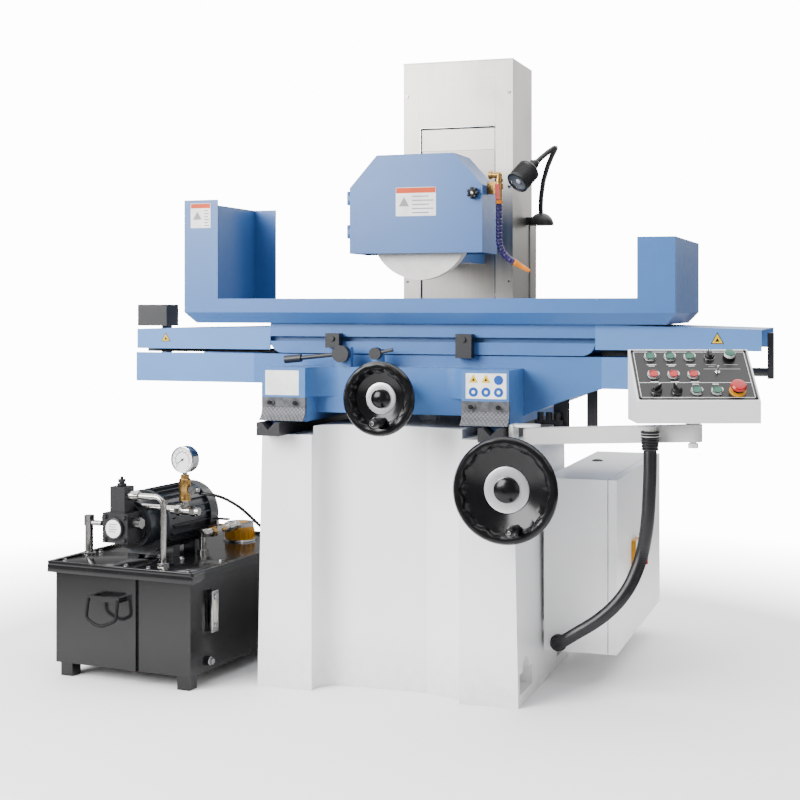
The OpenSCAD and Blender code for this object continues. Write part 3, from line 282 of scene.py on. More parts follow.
# Ground chuck face with brass gaps between its poles
def poled(name):
    shade = Shade(name, 0.3, metal=1.0)
    comb = (shade.axis("X") * (2 * math.pi / 0.018)).math("SINE") > 0.86
    top = shade.axis("Z") > 1.0875
    lines = shade.noise(1.0, 3, shade.stretched((40, 900, 40)))
    steel = shade.blend(lines, (0.44, 0.44, 0.43), (0.62, 0.62, 0.61))
    shade.set("Base Color", shade.blend(comb * top, steel, (0.55, 0.40, 0.18)))
    shade.set("Roughness", lines * 0.2 + 0.2)
    return shade.set("Normal", shade.bump(lines, 0.00003)).material


# Vitrified abrasive: coarse white grains
def abrasive(name):
    shade = Shade(name, 0.92, specular=0.3)
    grains = shade.noise(1500, 2)
    slow = shade.noise(30, 3)
    shade.set("Base Color", shade.blend((grains * 0.5 + slow * 0.5).rise(0.3, 0.7),
                                        (0.66, 0.64, 0.61), (0.86, 0.85, 0.82)))
    return shade.set("Normal", shade.bump(grains, 0.0006)).material


# Hose links, with an orange tip on the nozzle
def linked(name):
    shade = Shade(name, 0.32, coat=0.2)
    patches = shade.noise(45, 3)
    violet = shade.blend(patches.rise(0.3, 0.7), (0.008, 0.003, 0.048), (0.018, 0.007, 0.095))
    tip = shade.axis("X").rise(hoseSizes["tipX"] / 1000, hoseSizes["tipX"] / 1000 + 0.001)
    shade.set("Base Color", shade.blend(tip, violet, (0.60, 0.17, 0.002)))
    shade.set("Roughness", patches * 0.15 + 0.25)
    return shade.set("Normal", shade.bump(shade.noise(700, 2), 0.00004)).material


hoseSizes = {"tipX": 283, "at": (235, 345, 1379), "link": 20, "drop": 6, "bend": 15, "curved": 4}
blue = (0.050, 0.142, 0.36)
finish = {
    "base_paint": paint("basePaint", (0.82, 0.83, 0.83), 0.34, 0.0005, 0.35, bottomDarkening=0.5, tone=0.03),
    "casting_blue": paint("castingBlue", blue, 0.36, 0.0006, 0.12),
    "sheet_blue": paint("sheetBlue", (0.040, 0.125, 0.335), 0.36, 0.0, 0.1, tone=0.04),
    "cover_blue": paint("coverBlue", (0.085, 0.20, 0.46), 0.33, 0.0, 0.15, tone=0.04),
    "way_iron": castIron("wayIron", (0.016, 0.016, 0.018), 0.42, 0.0001, coat=0.1),
    "column_iron": castIron("columnIron", (0.42, 0.42, 0.40), 0.6),
    "shroud_steel": brushed("shroudSteel", (0.37, 0.355, 0.33), (260, 260, 3.5), 0.36, 0.16, stain=0.3),
    "screw_steel": brushed("groundSteel", (0.58, 0.58, 0.57), (20, 500, 20), 0.28),
    "handwheel_black": moulded("wheelBlack", (0.002, 0.002, 0.0025), 0.2, 0.0, 500, 0.00002, specular=0.3),
    "grip_black": moulded("gripBlack", (0.005, 0.005, 0.0055), 0.34, specular=0.3),
    "flap_rubber": treaded("flapRubber"),
    "tank_black": moulded("tankBlack", (0.007, 0.007, 0.0075), 0.15, 0.0, 160, 0.00003, specular=0.35),
    "motor_black": castIron("motorBlack", (0.010, 0.013, 0.017), 0.36, 0.0001, coat=0.3),
    "pump_black": castIron("pumpBlack", (0.010, 0.009, 0.011), 0.45, 0.0003, coat=0.1),
    "pipe_steel": brushed("pipeSteel", (0.36, 0.352, 0.34), (120, 120, 120), 0.2, 0.12, 0.00002),
    "hose_black": moulded("hoseBlack", (0.005, 0.005, 0.006), 0.36, 0.0, 300, specular=0.3),
    "conduit_black": moulded("conduitBlack", (0.0055, 0.005, 0.007), 0.34, 0.0, 300, specular=0.35),
    "wheel_abrasive": abrasive("wheelAbrasive"),
    "chuck_steel": poled("chuckSteel"),
    "brass": brushed("brass", (0.34, 0.20, 0.065), (160, 160, 160), 0.27, 0.12, 0.00003),
    "hose_link": linked("hoseLink"),
    "lamp_black": moulded("lampBlack", (0.010, 0.010, 0.011), 0.42, 0.0, 500, 0.00006, specular=0.35),
    "pendant_paint": paint("pendantPaint", (0.76, 0.755, 0.765), 0.36, 0.0, 0.3, tone=0.03),
    "arm_paint": paint("armPaint", (0.50, 0.505, 0.49), 0.42, 0.0003, 0.2, tone=0.06),
    "button_green": moulded("buttonGreen", (0.0005, 0.085, 0.045), 0.3, 0.1, 300, 0.00002),
    "button_red": moulded("buttonRed", (0.36, 0.002, 0.003), 0.3, 0.1, 300, 0.00002),
    "knob_black": moulded("knobBlack", (0.005, 0.005, 0.0055), 0.36, specular=0.35),
    "steel_black": castIron("blackSteel", (0.014, 0.014, 0.016), 0.42, 0.0001, coat=0.05),
    "isolator_red": moulded("isolatorRed", (0.36, 0.003, 0.003), 0.34, 0.1),
}
extra = {
    "thread": threaded("screwThread", 0.004),
    "chrome": brushed("brightChrome", (0.44, 0.44, 0.445), (80, 80, 80), 0.14, 0.06, 0.00001),
    "ring": brushed("ringSilver", (0.62, 0.62, 0.64), (300, 300, 300), 0.30, 0.06),
    "dark": moulded("shadowBlack", (0.003, 0.003, 0.003), 0.6, specular=0.2),
    "panel": moulded("panelBlack", (0.006, 0.0058, 0.0062), 0.32, 0.0, 700, 0.00002, specular=0.35),
    "white": moulded("markWhite", (0.80, 0.80, 0.79), 0.4, 0.2),
    "grey": moulded("markGrey", (0.25, 0.25, 0.26), 0.5),
    "amber": moulded("nozzleAmber", (0.60, 0.17, 0.002), 0.4, specular=0.3),
    "orange": moulded("markOrange", (0.56, 0.055, 0.004), 0.45, specular=0.25),
    "yellow": moulded("signalYellow", (0.52, 0.225, 0.001), 0.42, specular=0.3),
    "sign": moulded("signYellow", (0.62, 0.40, 0.001), 0.42, specular=0.3),
    "signBlue": moulded("signBlue", (0.003, 0.06, 0.30), 0.42, specular=0.3),
    "lens": moulded("lampLens", (0.16, 0.16, 0.155), 0.16, 0.5, 120, 0.00012, 0.5),
    "glass": moulded("gaugeGlass", (0.82, 0.83, 0.83), 0.12, 0.8),
    "clear": moulded("clearHose", (0.50, 0.47, 0.38), 0.18, 0.6),
}
slotOf = {part["node"]: part["material_slot"] for part in frame["record"]["subparts"]}
for name, thing in nodes.items():
    thing.data.materials.clear()
    thing.data.materials.append(finish[slotOf[name]])
nodes["elevating_screw"].data.materials[0] = extra["thread"]
nodes["head_casting"].data.materials[0] = headPaint("headPaint", blue, 0.4)
nodes["oil_distributor"].data.materials[0] = finish["steel_black"]
print("materials ready")


# Small shapes, each in its own bmesh, which a Maker gathers into one piece
def box(low, high, bevel=0.0, segments=2):
    part = bmesh.new()
    bmesh.ops.create_cube(part, size=1.0)
    size = [b - a for a, b in zip(low, high)]
    bmesh.ops.scale(part, vec=size, verts=part.verts)
    bmesh.ops.translate(part, vec=[(a + b) / 2 for a, b in zip(low, high)], verts=part.verts)
    if bevel:
        bmesh.ops.bevel(part, geom=part.edges[:], offset=bevel, offset_type="OFFSET", segments=segments,
                        profile=0.5, affect="EDGES", material=-1)
    return part


# Turned round Z from a profile of radius and height
def turned(profile, steps=48):
    part = bmesh.new()
    verts = [part.verts.new((r, 0, z)) for r, z in profile]
    edges = [part.edges.new(pair) for pair in zip(verts, verts[1:])]
    bmesh.ops.spin(part, geom=verts + edges, axis=(0, 0, 1), cent=(0, 0, 0), steps=steps,
                   angle=2 * math.pi, use_merge=True)
    bmesh.ops.remove_doubles(part, verts=part.verts, dist=0.001)
    bmesh.ops.recalc_face_normals(part, faces=part.faces)
    return part


# Upright rod with softened rims
def rod(r, low, high, soft=0.8, steps=32):
    return turned([(0, low), (r - soft, low), (r, low + soft), (r, high - soft), (r - soft, high), (0, high)],
                  steps)


def hexNut(r, low, high, soft=0.8):
    return turned([(0, low), (r - soft, low), (r, low + soft), (r, high - soft), (r - soft, high), (0, high)], 6)


# Flat plate with round corners, in the XY plane
def plate(w, h, t, corner=3.0, soft=0.3):
    part = bmesh.new()
    bmesh.ops.create_cube(part, size=1.0)
    bmesh.ops.scale(part, vec=(w, h, t), verts=part.verts)
    uprights = [e for e in part.edges if abs(e.verts[0].co.z - e.verts[1].co.z) > t / 2]
    bmesh.ops.bevel(part, geom=uprights, offset=corner, offset_type="OFFSET", segments=5, profile=0.5,
                    affect="EDGES", material=-1)
    return part


def sides(count, r, t):
    part = bmesh.new()
    bmesh.ops.create_cone(part, cap_ends=True, segments=count, radius1=r, radius2=r, depth=t)
    return part


# A tube along a list of points, with its own radius at each one
def pipe(points, radius, around=16):
    part = bmesh.new()
    points = [Vector(p) for p in points]
    side = None
    rings = []
    for i, point in enumerate(points):
        ahead = (points[min(i + 1, len(points) - 1)] - points[max(i - 1, 0)]).normalized()
        if side is None:
            side = ahead.orthogonal().normalized()
        side = (side - side.dot(ahead) * ahead).normalized()
        other = ahead.cross(side)
        r = radius(i) if callable(radius) else radius
        rings.append([part.verts.new(point + r * (math.cos(a) * side + math.sin(a) * other))
                      for a in [2 * math.pi * k / around for k in range(around)]])
    for first, second in zip(rings, rings[1:]):
        for k in range(around):
            part.faces.new((first[k], first[(k + 1) % around], second[(k + 1) % around], second[k]))
    part.faces.new(rings[0][::-1])
    part.faces.new(rings[-1])
    bmesh.ops.recalc_face_normals(part, faces=part.faces)
    return part


# Points spaced evenly along a smooth curve through a route
def smoothed(route, step):
    route = [Vector(p) for p in route]
    padded = [2 * route[0] - route[1]] + route + [2 * route[-1] - route[-2]]
    out = []
    for a, b, c, d in zip(padded, padded[1:], padded[2:], padded[3:]):
        count = max(1, round((c - b).length / step))
        for k in range(count):
            t = k / count
            out.append(0.5 * (2 * b + (c - a) * t + (2 * a - 5 * b + 4 * c - d) * t ** 2
                              + (3 * b - a - 3 * c + d) * t ** 3))
    return out + [route[-1]]


class Maker:
    def __init__(self, name):
        self.name = name
        self.mesh = bmesh.new()
        self.finishes = []

    def add(self, part, material, at=None, smooth=True):
        if material not in self.finishes:
            self.finishes.append(material)
        for face in part.faces:
            face.material_index = self.finishes.index(material)
            face.smooth = smooth
        if at is not None:
            bmesh.ops.transform(part, matrix=at, verts=part.verts)
        gathered = bpy.data.meshes.new("part")
        part.to_mesh(gathered)
        part.free()
        self.mesh.from_mesh(gathered)
        bpy.data.meshes.remove(gathered)
        return self

    # Millimetres to metres, then one object that rides on a body
    def done(self, body, replaces=(), at=None):
        if at is not None:
            bmesh.ops.transform(self.mesh, matrix=at, verts=self.mesh.verts)
        shape = bpy.data.meshes.new(self.name)
        self.mesh.to_mesh(shape)
        self.mesh.free()
        for material in self.finishes:
            shape.materials.append(material)
        shape.set_sharp_from_angle(angle=math.radians(28))
        piece = bpy.data.objects.new(self.name, shape)
        bpy.context.scene.collection.objects.link(piece)
        if body:
            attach(piece, body)
        if replaces:
            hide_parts(*replaces)
        return piece


# Local millimetres to the row frame
def local(x, y, z, *turns):
    matrix = shift(x, y, z)
    for degrees, axis in turns:
        matrix = matrix @ turn(degrees, axis)
    return matrix @ Matrix.Scale(0.001, 4)


# A frame whose Z looks to the front and whose Y is up, for what faces the operator
def facing(x, y, z):
    return local(x, y, z, (90, "X"))


# Cords
conduitSizes = {
    "diameter": 34,
    "rib": 5.0,
    "smoothUntil": 0.30,
    "route": [
        (747, -124, 741), (747, -124, 712), (747, -124, 675), (746, -123, 635), (744, -121, 595),
        (741, -117, 553), (736, -110, 511), (728, -100, 470), (717, -86, 431), (702, -68, 393),
        (684, -46, 357), (661, -22, 322), (634, 6, 289), (604, 36, 259), (573, 67, 232),
        (542, 97, 208), (512, 127, 186), (486, 157, 166), (464, 186, 149), (446, 214, 135),
        (433, 240, 125), (427, 262, 120), (427, 275.9, 120)],
}
pilotSizes = {
    "diameter": 9,
    "route": [
        (-556, 8, 533), (-540, 9, 533), (-524, 13, 531), (-507, 20, 526), (-490, 29, 518),
        (-474, 40, 507), (-459, 52, 494), (-446, 65, 479), (-434, 78, 463), (-423, 90, 447),
        (-412, 101, 433), (-401, 108, 424), (-390, 110, 421), (-384, 110, 421)],
}


def routeLength(points):
    return sum((b - a).length for a, b in zip(points, points[1:]))


def conduit():
    sizes = conduitSizes
    points = smoothed([place(*p) for p in sizes["route"]], sizes["rib"] / 4000)
    r = sizes["diameter"] / 2000
    last = len(points) - 1

    def radius(i):
        wave = 0.5 - 0.5 * math.cos(math.pi * i / 2)
        ribbed = min(1.0, max(0.0, (i / last - sizes["smoothUntil"]) * 12))
        return r - 0.0021 * wave * (0.25 + 0.75 * ribbed)

    maker = Maker("conduitHose")
    maker.add(pipe(points, radius, 28), finish["conduit_black"])
    piece = maker.done(None, ["conduit"])
    path = points[::8] + [points[-1]]
    routeLength(points)
    return piece, points


def pilotHose():
    sizes = pilotSizes
    points = smoothed([place(*p) for p in sizes["route"]], 0.004)
    maker = Maker("pilotHose")
    maker.add(pipe(points, sizes["diameter"] / 2000, 20), finish["hose_black"])
    piece = maker.done("machine_base", ["hydraulic_hoses"])
    routeLength(points)


conduitPiece, conduitPoints = conduit()
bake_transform(conduitPiece)
pilotHose()
print("cords laid")

# Handwheels: dished, with a scalloped inner rim, a silver ring and a domed hub
wheelSizes = {
    "cross": {"d": 200, "ring": 85, "hub": 53, "lobes": 14, "at": (32, -117, 826), "gripTurn": -80},
    "elevating": {"d": 280, "ring": 122, "hub": 69, "lobes": 14, "at": (374, -109, 595), "gripTurn": -72},
    "grip": 82,
    "gripInset": 40,
}


def wheelDisc(sizes):
    r = sizes["d"] / 2
    ring = sizes["ring"] / 2
    part = turned([
        (0, -14), (ring, -14), (r * 0.74, 4 - 4), (r - 15, 2), (r - 6, 5), (r - 1.4, 11), (r, 17),
        (r - 1.6, 23.5), (r - 6, 28.6), (r - 13, 30), (r - 20, 28.2), (r - 23.5, 24.5), (r - 26, 20),
        (r - 30, 15.5), (r * 0.66, 9), (r * 0.55, 4), (ring + 3, -0.5), (ring, -1.5), (0, -1.5)],
        sizes["lobes"] * 10)
    # the fingers' hollows run in from the rim to the dish
    for vert in part.verts:
        far = math.hypot(vert.co.x, vert.co.y)
        inner = max(0.0, 1 - abs(far - (r - 24)) / 12) if vert.co.z > 8 else 0.0
        if inner > 0:
            wave = math.cos(sizes["lobes"] * math.atan2(vert.co.y, vert.co.x))
            grow = 1 + (wave * 0.034 * inner) * (100 / r) ** 0.5
            vert.co.x *= grow
            vert.co.y *= grow
            vert.co.z += wave * 1.4 * inner
    return part


def handwheel(name, body, sizes, shaft, housing=None):
    ring = sizes["ring"] / 2
    hub = sizes["hub"] / 2
    r = sizes["d"] / 2
    maker = Maker(name)
    maker.add(wheelDisc(sizes), finish["handwheel_black"])
    maker.add(turned([(hub - 2, -1), (hub, 0.6), (ring - 4, 1.0), (ring - 1, 0.4), (ring, -1.5)], 96),
              extra["ring"])
    maker.add(turned([(hub, -1), (hub, 5), (hub * 0.93, 10.5), (hub * 0.72, 15), (hub * 0.45, 17.6),
                      (hub * 0.2, 18.3), (hub * 0.2, 16.5), (0, 16.2)], 64), finish["handwheel_black"])
    # hub boss and shaft behind the wheel
    maker.add(rod(ring, -32, -12, 2), finish["steel_black"])
    maker.add(rod(12, -10 - shaft, -12), finish["screw_steel"])
    if housing:
        maker.add(rod(housing[0], -housing[2], -housing[1], 2, 64), finish["steel_black"])
    angle = math.radians(sizes["gripTurn"])
    reach = r - wheelSizes["gripInset"]
    at = Matrix.Translation((reach * math.cos(angle), reach * math.sin(angle), 0))
    pin = wheelSizes["grip"] + 20
    maker.add(rod(5, -2, pin, 1, 24), extra["chrome"], at)
    maker.add(rod(9, 0, 16, 1.5, 24), finish["handwheel_black"], at)
    return maker.done(body, [body], facing(*sizes["at"])), at


def grip(name, body, sizes, at):
    length = wheelSizes["grip"]
    maker = Maker(name)
    profile = [(5.2, 18.5), (8.5, 18.5), (9.6, 20), (10.4, 30), (11.6, 42), (13.2, 56), (14, 68), (13.8, 78),
               (12.9, 88), (10.5, 95.5), (7.6, 99), (5.2, 99.4)]
    maker.add(turned([(a, b * (length + 18) / 100) for a, b in profile], 40), finish["grip_black"])
    maker.add(rod(5.1, 97, 99.2, 0.6, 24), extra["chrome"])
    maker.done(body, [body], facing(*sizes["at"]) @ at)


wheel, at = handwheel("crossWheel", "cross_handwheel", wheelSizes["cross"], 580, (46, 32, 152))
grip("crossGrip", "cross_grip", wheelSizes["cross"], at)
wheel, at = handwheel("elevatingWheel", "elevating_handwheel", wheelSizes["elevating"], 90)
grip("elevatingGrip", "elevating_grip", wheelSizes["elevating"], at)
print("handwheels made")

# Pendant: black panel with a white outline, collars round the buttons, generic marks
pendantSizes = {
    "at": (849.5, -91.0, 784), "turn": 18.5, "w": 304, "slope": 40.08, "middle": 116, "l": 189.5,
    "columns": (-100, -50, 0, 50, 100), "cap": 11.5,
}
panelFrame = (shift(*pendantSizes["at"]) @ turn(pendantSizes["turn"], "Z")
              @ Matrix.Translation((0, 0, pendantSizes["middle"] / 1000))
              @ turn(pendantSizes["slope"], "X") @ Matrix.Scale(0.001, 4))


def onPanel(u, v, w=0.0):
    return Matrix.Translation((u, v, w))


def pendantPanel():
    s = pendantSizes
    w = s["w"] - 10
    l = s["l"] - 9
    maker = Maker("pendantPanel")
    maker.add(plate(w, l, 1.6, 7), extra["panel"], onPanel(0, 0, 0.5))
    # white outline and the line over the lowest row
    inset = 7
    for v in (-l / 2 + inset, l / 2 - inset, -30):
        maker.add(box((-w / 2 + inset, v - 0.6, 1.2), (w / 2 - inset, v + 0.6, 1.7)), extra["white"])
    for u in (-w / 2 + inset, w / 2 - inset):
        maker.add(box((u - 0.6, -l / 2 + inset, 1.2), (u + 0.6, l / 2 - inset, 1.7)), extra["white"])
    for u in (-w / 2 + 4, w / 2 - 4):
        for v in (-l / 2 + 4, l / 2 - 4):
            maker.add(rod(4, 0, 3.4, 1, 20), extra["dark"], onPanel(u, v, 0.6))
    # short dashes stand for the legends
    for column, u in enumerate(s["columns"][:3]):
        for v, widths in ((36, (24, 15)), (-27, (20,))):
            for line, width in enumerate(widths):
                maker.add(box((u - width / 2, v - 5 * line - 0.9, 1.2), (u + width / 2, v - 5 * line + 0.9, 1.6)),
                          extra["white"])
    for u, v, width in ((50, 36, 26), (50, 30, 16), (100, 36, 34), (75, 20, 92), (-50, -85, 22),
                        (0, -84, 24), (50, -84, 24), (-100, -85, 20)):
        maker.add(box((u - width / 2, v - 0.9, 1.2), (u + width / 2, v + 0.9, 1.6)), extra["grey"])
    # pointers of the two jog keys
    for u in (0, 50):
        maker.add(box((u - 8, -36.5, 1.2), (u + 8, -34.5, 1.6)), extra["white"])
    # toggle switch with its nut
    maker.add(hexNut(7, 1, 4), extra["chrome"], onPanel(62, 8))
    maker.add(turned([(0, 3), (2, 3), (2.2, 10), (3, 17), (2.6, 19), (0, 20)], 20), extra["chrome"],
              onPanel(62, 8) @ turn(-18, "X"))
    # collars
    for u, v in buttonPlaces.values():
        maker.add(turned([(12.2, 4.9), (12.2, 8), (13.4, 8.6), (14.8, 7.8), (15.4, 5), (15.6, 1.2)], 48),
                  extra["chrome"], onPanel(u, v))
    for u, v in knobPlaces.values():
        maker.add(turned([(9.6, 4.9), (11, 5.3), (13.2, 4.9), (13.6, 3), (13.8, 1.2)], 40), extra["chrome"],
                  onPanel(u, v))
    # stop button's yellow base and the lit green lamp
    maker.add(turned([(12.4, 5.2), (20, 5.2), (21, 4.2), (21.2, 1.2)], 56), extra["yellow"], onPanel(100, -61))
    maker.add(turned([(13.9, 1), (15.5, 1.2), (15.5, 9), (14.2, 10), (14, 10)], 40), extra["dark"],
              onPanel(100, 63))
    maker.add(turned([(14, 9), (13.9, 17), (12.6, 19.6), (9, 20.8), (0, 21.2)], 40), finish["button_green"],
              onPanel(100, 63))
    maker.done("pendant_box", (), panelFrame)


buttonPlaces = {
    "start_button_1": (-100, 63), "start_button_2": (-50, 63), "start_button_3": (0, 63),
    "stop_button_1": (-100, -3), "stop_button_2": (-50, -3), "stop_button_3": (0, -3),
    "jog_button_1": (0, -61), "jog_button_2": (50, -61),
}
knobPlaces = {"feed_selector": (-100, -61), "mode_selector": (-50, -61), "speed_knob": (50, 63)}


def buttonCap(node, u, v):
    r = pendantSizes["cap"]
    colour = finish["button_red" if node.startswith("stop") else "button_green"]
    maker = Maker(node + "Cap")
    maker.add(turned([(0, -12), (r - 1, -12), (r - 0.3, -11), (r - 0.3, 2)], 48), extra["dark"])
    maker.add(turned([(r - 0.3, 2), (r, 3), (r, 7.6), (r - 0.7, 8.8), (r - 2.2, 9), (r - 3.2, 8.2), (0, 8.0)],
                     48), colour)
    maker.done(node, [node],
               panelFrame @ onPanel(u, v))


def selector(node, u, v, r, height):
    maker = Maker(node + "Knob")
    maker.add(rod(8.6, -12, 5.2, 0.5), extra["dark"])
    maker.add(turned([(0, 5.4), (r - 0.6, 5.4), (r, 6.4), (r - 0.6, 11), (r - 2.5, 12.3), (0, 12.4)], 48),
              finish["knob_black"])
    maker.add(box((-r + 1.4, -3.8, 9), (r - 1.4, 3.8, 5.3 + height), 1.6, 3), finish["knob_black"])
    maker.add(box((r - 9, -0.9, 4.6 + height), (r - 2.2, 0.9, 5.6 + height), 0.3, 1), extra["white"])
    lean = 38 if node == "feed_selector" else 118 if node == "mode_selector" else 90
    maker.done(node, [node], panelFrame @ onPanel(u, v) @ turn(lean, "Z"))


def stopButton(u, v):
    maker = Maker("emergencyStopHead")
    maker.add(rod(11.7, -12, 17, 0.5), extra["dark"])
    maker.add(turned([(11.5, 14.6), (17.6, 15.2), (19.6, 17), (20.2, 20), (19.6, 23.2), (17, 26), (12, 27.6),
                      (6, 28), (0, 27.9)], 64), finish["button_red"])
    maker.done("emergency_stop", ["emergency_stop"], panelFrame @ onPanel(u, v))


pendantPanel()
for node, (u, v) in buttonPlaces.items():
    buttonCap(node, u, v)
selector("feed_selector", -100, -61, 13.8, 17)
selector("mode_selector", -50, -61, 13.8, 17)
selector("speed_knob", 50, 63, 12.8, 15)
stopButton(100, -61)
print("pendant dressed")


# Generic labels, with bars for lettering
def label(name, body, x0, x1, z0, z1, y, header=None, rows=4, sign=True):
    w = x1 - x0
    h = z1 - z0
    maker = Maker(name)
    maker.add(plate(w, h, 0.6, 2), extra["white"])
    top = h / 2
    if header:
        maker.add(box((-w / 2 + 1, h / 2 - h * 0.2, 0.2), (w / 2 - 1, h / 2 - 1, 0.6)), header)
        top -= h * 0.2
    left = -w / 2 + 4
    if sign:
        maker.add(sides(3, h * 0.22, 0.5), extra["grey"],
                  Matrix.Translation((-w / 2 + h * 0.3, -h * 0.05, 0.35)))
        left += h * 0.55
    for k in range(rows):
        v = top - (k + 0.8) * (top + h / 2) / (rows + 0.6)
        short = (w / 2 - 4 - left) * (0.95 if k % 2 else 0.75)
        maker.add(box((left, v - h * 0.022, 0.2), (left + short, v + h * 0.022, 0.5)), extra["grey"])
    maker.done(body, (), facing((x0 + x1) / 2, y - 0.25, (z0 + z1) / 2))


def warning(name, body, x, y, z, size):
    maker = Maker(name)
    maker.add(sides(3, size, 0.5), extra["dark"])
    maker.add(sides(3, size * 0.82, 0.5), extra["sign"], Matrix.Translation((0, 0, 0.25)))
    maker.add(sides(3, size * 0.34, 0.5), extra["dark"], Matrix.Translation((0, -size * 0.05, 0.5)))
    maker.done(body, (), facing(x, y - 0.3, z))


def symbolPlate(name, body, x0, x1, z0, z1, y):
    w = x1 - x0
    h = z1 - z0
    maker = Maker(name)
    maker.add(plate(w, h, 0.6, 2), extra["white"])
    for k in (-1, 0, 1):
        high = Matrix.Translation((k * w * 0.31, h * 0.24, 0.35))
        if k < 1:
            maker.add(sides(3, h * 0.22, 0.5), extra["sign"], high)
            maker.add(sides(3, h * 0.08, 0.7), extra["dark"], high)
        else:
            maker.add(sides(24, h * 0.19, 0.5), extra["signBlue"], high)
        low = Matrix.Translation((k * w * 0.31, -h * 0.24, 0.35))
        maker.add(sides(24, h * 0.19, 0.5), extra["signBlue"], low)
        maker.add(sides(24, h * 0.07, 0.7), extra["white"], low)
    maker.done(body, (), facing((x0 + x1) / 2, y - 0.25, (z0 + z1) / 2))


label("guardLabel", "guard_door", -62, 61, 1335, 1419, 285, extra["orange"], 5)
label("wingLabel", "table", -632, -568, 1300, 1372, 90.5, extra["orange"], 6)
label("plainPlate", "saddle", -346, -245, 823, 892, -18, None, 0, False)
symbolPlate("symbolPlate", "saddle", 238, 350, 824, 892, -18)
warning("leftWarning", "table", -736, 134, 975, 17)
warning("rightWarning", "table", 884, 134, 982, 20)
print("labels placed")

# Power unit: lid frame and plates, bolts, level gauge, pump plate, gauge dial and filler
unitSizes = {
    "at": (-782, 196), "turn": -5.8, "tankMid": (60, 56), "tank": (457, 700, 326), "motor": (14, -112, 433),
    "dial": (195, -189, 631), "filler": (104, 288, 326), "lip": 8,
}
unitFrame = (shift(unitSizes["at"][0], unitSizes["at"][1], 0) @ turn(unitSizes["turn"], "Z")
             @ Matrix.Scale(0.001, 4))


def hexBolt(maker, at, r=6.5, high=5, material=None):
    maker.add(rod(r * 1.35, 0, 1.4, 0.4, 24), material or extra["chrome"], at)
    maker.add(hexNut(r, 1.2, 1.2 + high, 0.7), material or extra["chrome"], at)


def tankTrim():
    w, l, h = unitSizes["tank"]
    x, y = unitSizes["tankMid"]
    maker = Maker("tankTrim")
    lip = unitSizes["lip"]
    half = (w / 2 + 13.5, l / 2 + 13.5)
    black = finish["tank_black"]
    # raised frame round the lid
    for side in (-1, 1):
        maker.add(box((side * half[0] - 7, -half[1], h - 3), (side * half[0] + 7, half[1], h + lip), 1.5), black)
        maker.add(box((-half[0], side * half[1] - 7, h - 3), (half[0], side * half[1] + 7, h + lip), 1.5), black)
    maker.add(box((18, -half[1], h - 1), (54, -half[1] + 240, h + 2.5), 1), black)
    # folded edge of the rim
    for side in (-1, 1):
        maker.add(box((side * (half[0] + 2) - 2.5, -half[1] - 4, h - 24), (side * (half[0] + 2) + 2.5, half[1] + 4,
                                                                          h - 2), 1), black)
        maker.add(box((-half[0] - 4, side * (half[1] + 2) - 2.5, h - 24), (half[0] + 4, side * (half[1] + 2) + 2.5,
                                                                          h - 2), 1), black)
    # bail hung from the two lugs
    front = -l / 2
    bail = [(-86, -40, 243), (-86, -46, 214), (-84, -50, 190), (-62, -52, 176), (-36, -52, 170), (-10, -50, 178),
            (10, -46, 190), (12, -42, 216), (12, -38, 243)]
    maker.add(pipe([(px, front + py, pz) for px, py, pz in smoothed(bail, 5)], 5.0, 16), extra["dark"])
    # two lid plates at the front
    for low, high in ((-228, 12), (60, 222)):
        maker.add(box((low, -l / 2 + 8, h - 1), (high, -l / 2 + 210, h + 4), 1.2), black)
        for bx in (low + 14, high - 14):
            for by in (-l / 2 + 22, -l / 2 + 196):
                hexBolt(maker, Matrix.Translation((bx, by, h + 3.6)), 6, 5)
    # level gauge in its bright frame, on the right side
    side = w / 2 + 11
    gaugeY = -l / 2 + 105
    for z0, z1 in ((h - 178, h - 168), (h - 70, h - 60)):
        maker.add(box((side - 3, gaugeY - 17, z0), (side + 6, gaugeY + 17, z1), 2), extra["chrome"])
    for y0 in (-17, 11):
        maker.add(box((side - 3, gaugeY + y0, h - 176), (side + 6, gaugeY + y0 + 6, h - 62), 2), extra["chrome"])
    maker.add(box((side - 2, gaugeY - 11, h - 168), (side + 3, gaugeY + 11, h - 70), 1), extra["clear"])
    for z in (h - 160, h - 78):
        hexBolt(maker, Matrix.Translation((side + 3, gaugeY, z)) @ turn(90, "Y"), 7, 5)
    hexBolt(maker, Matrix.Translation((w / 2 + 9, -l / 2 + 90, 68)) @ turn(90, "Y"), 9, 9)
    maker.done("machine_base", (), unitFrame @ Matrix.Translation((x, y, 0)))


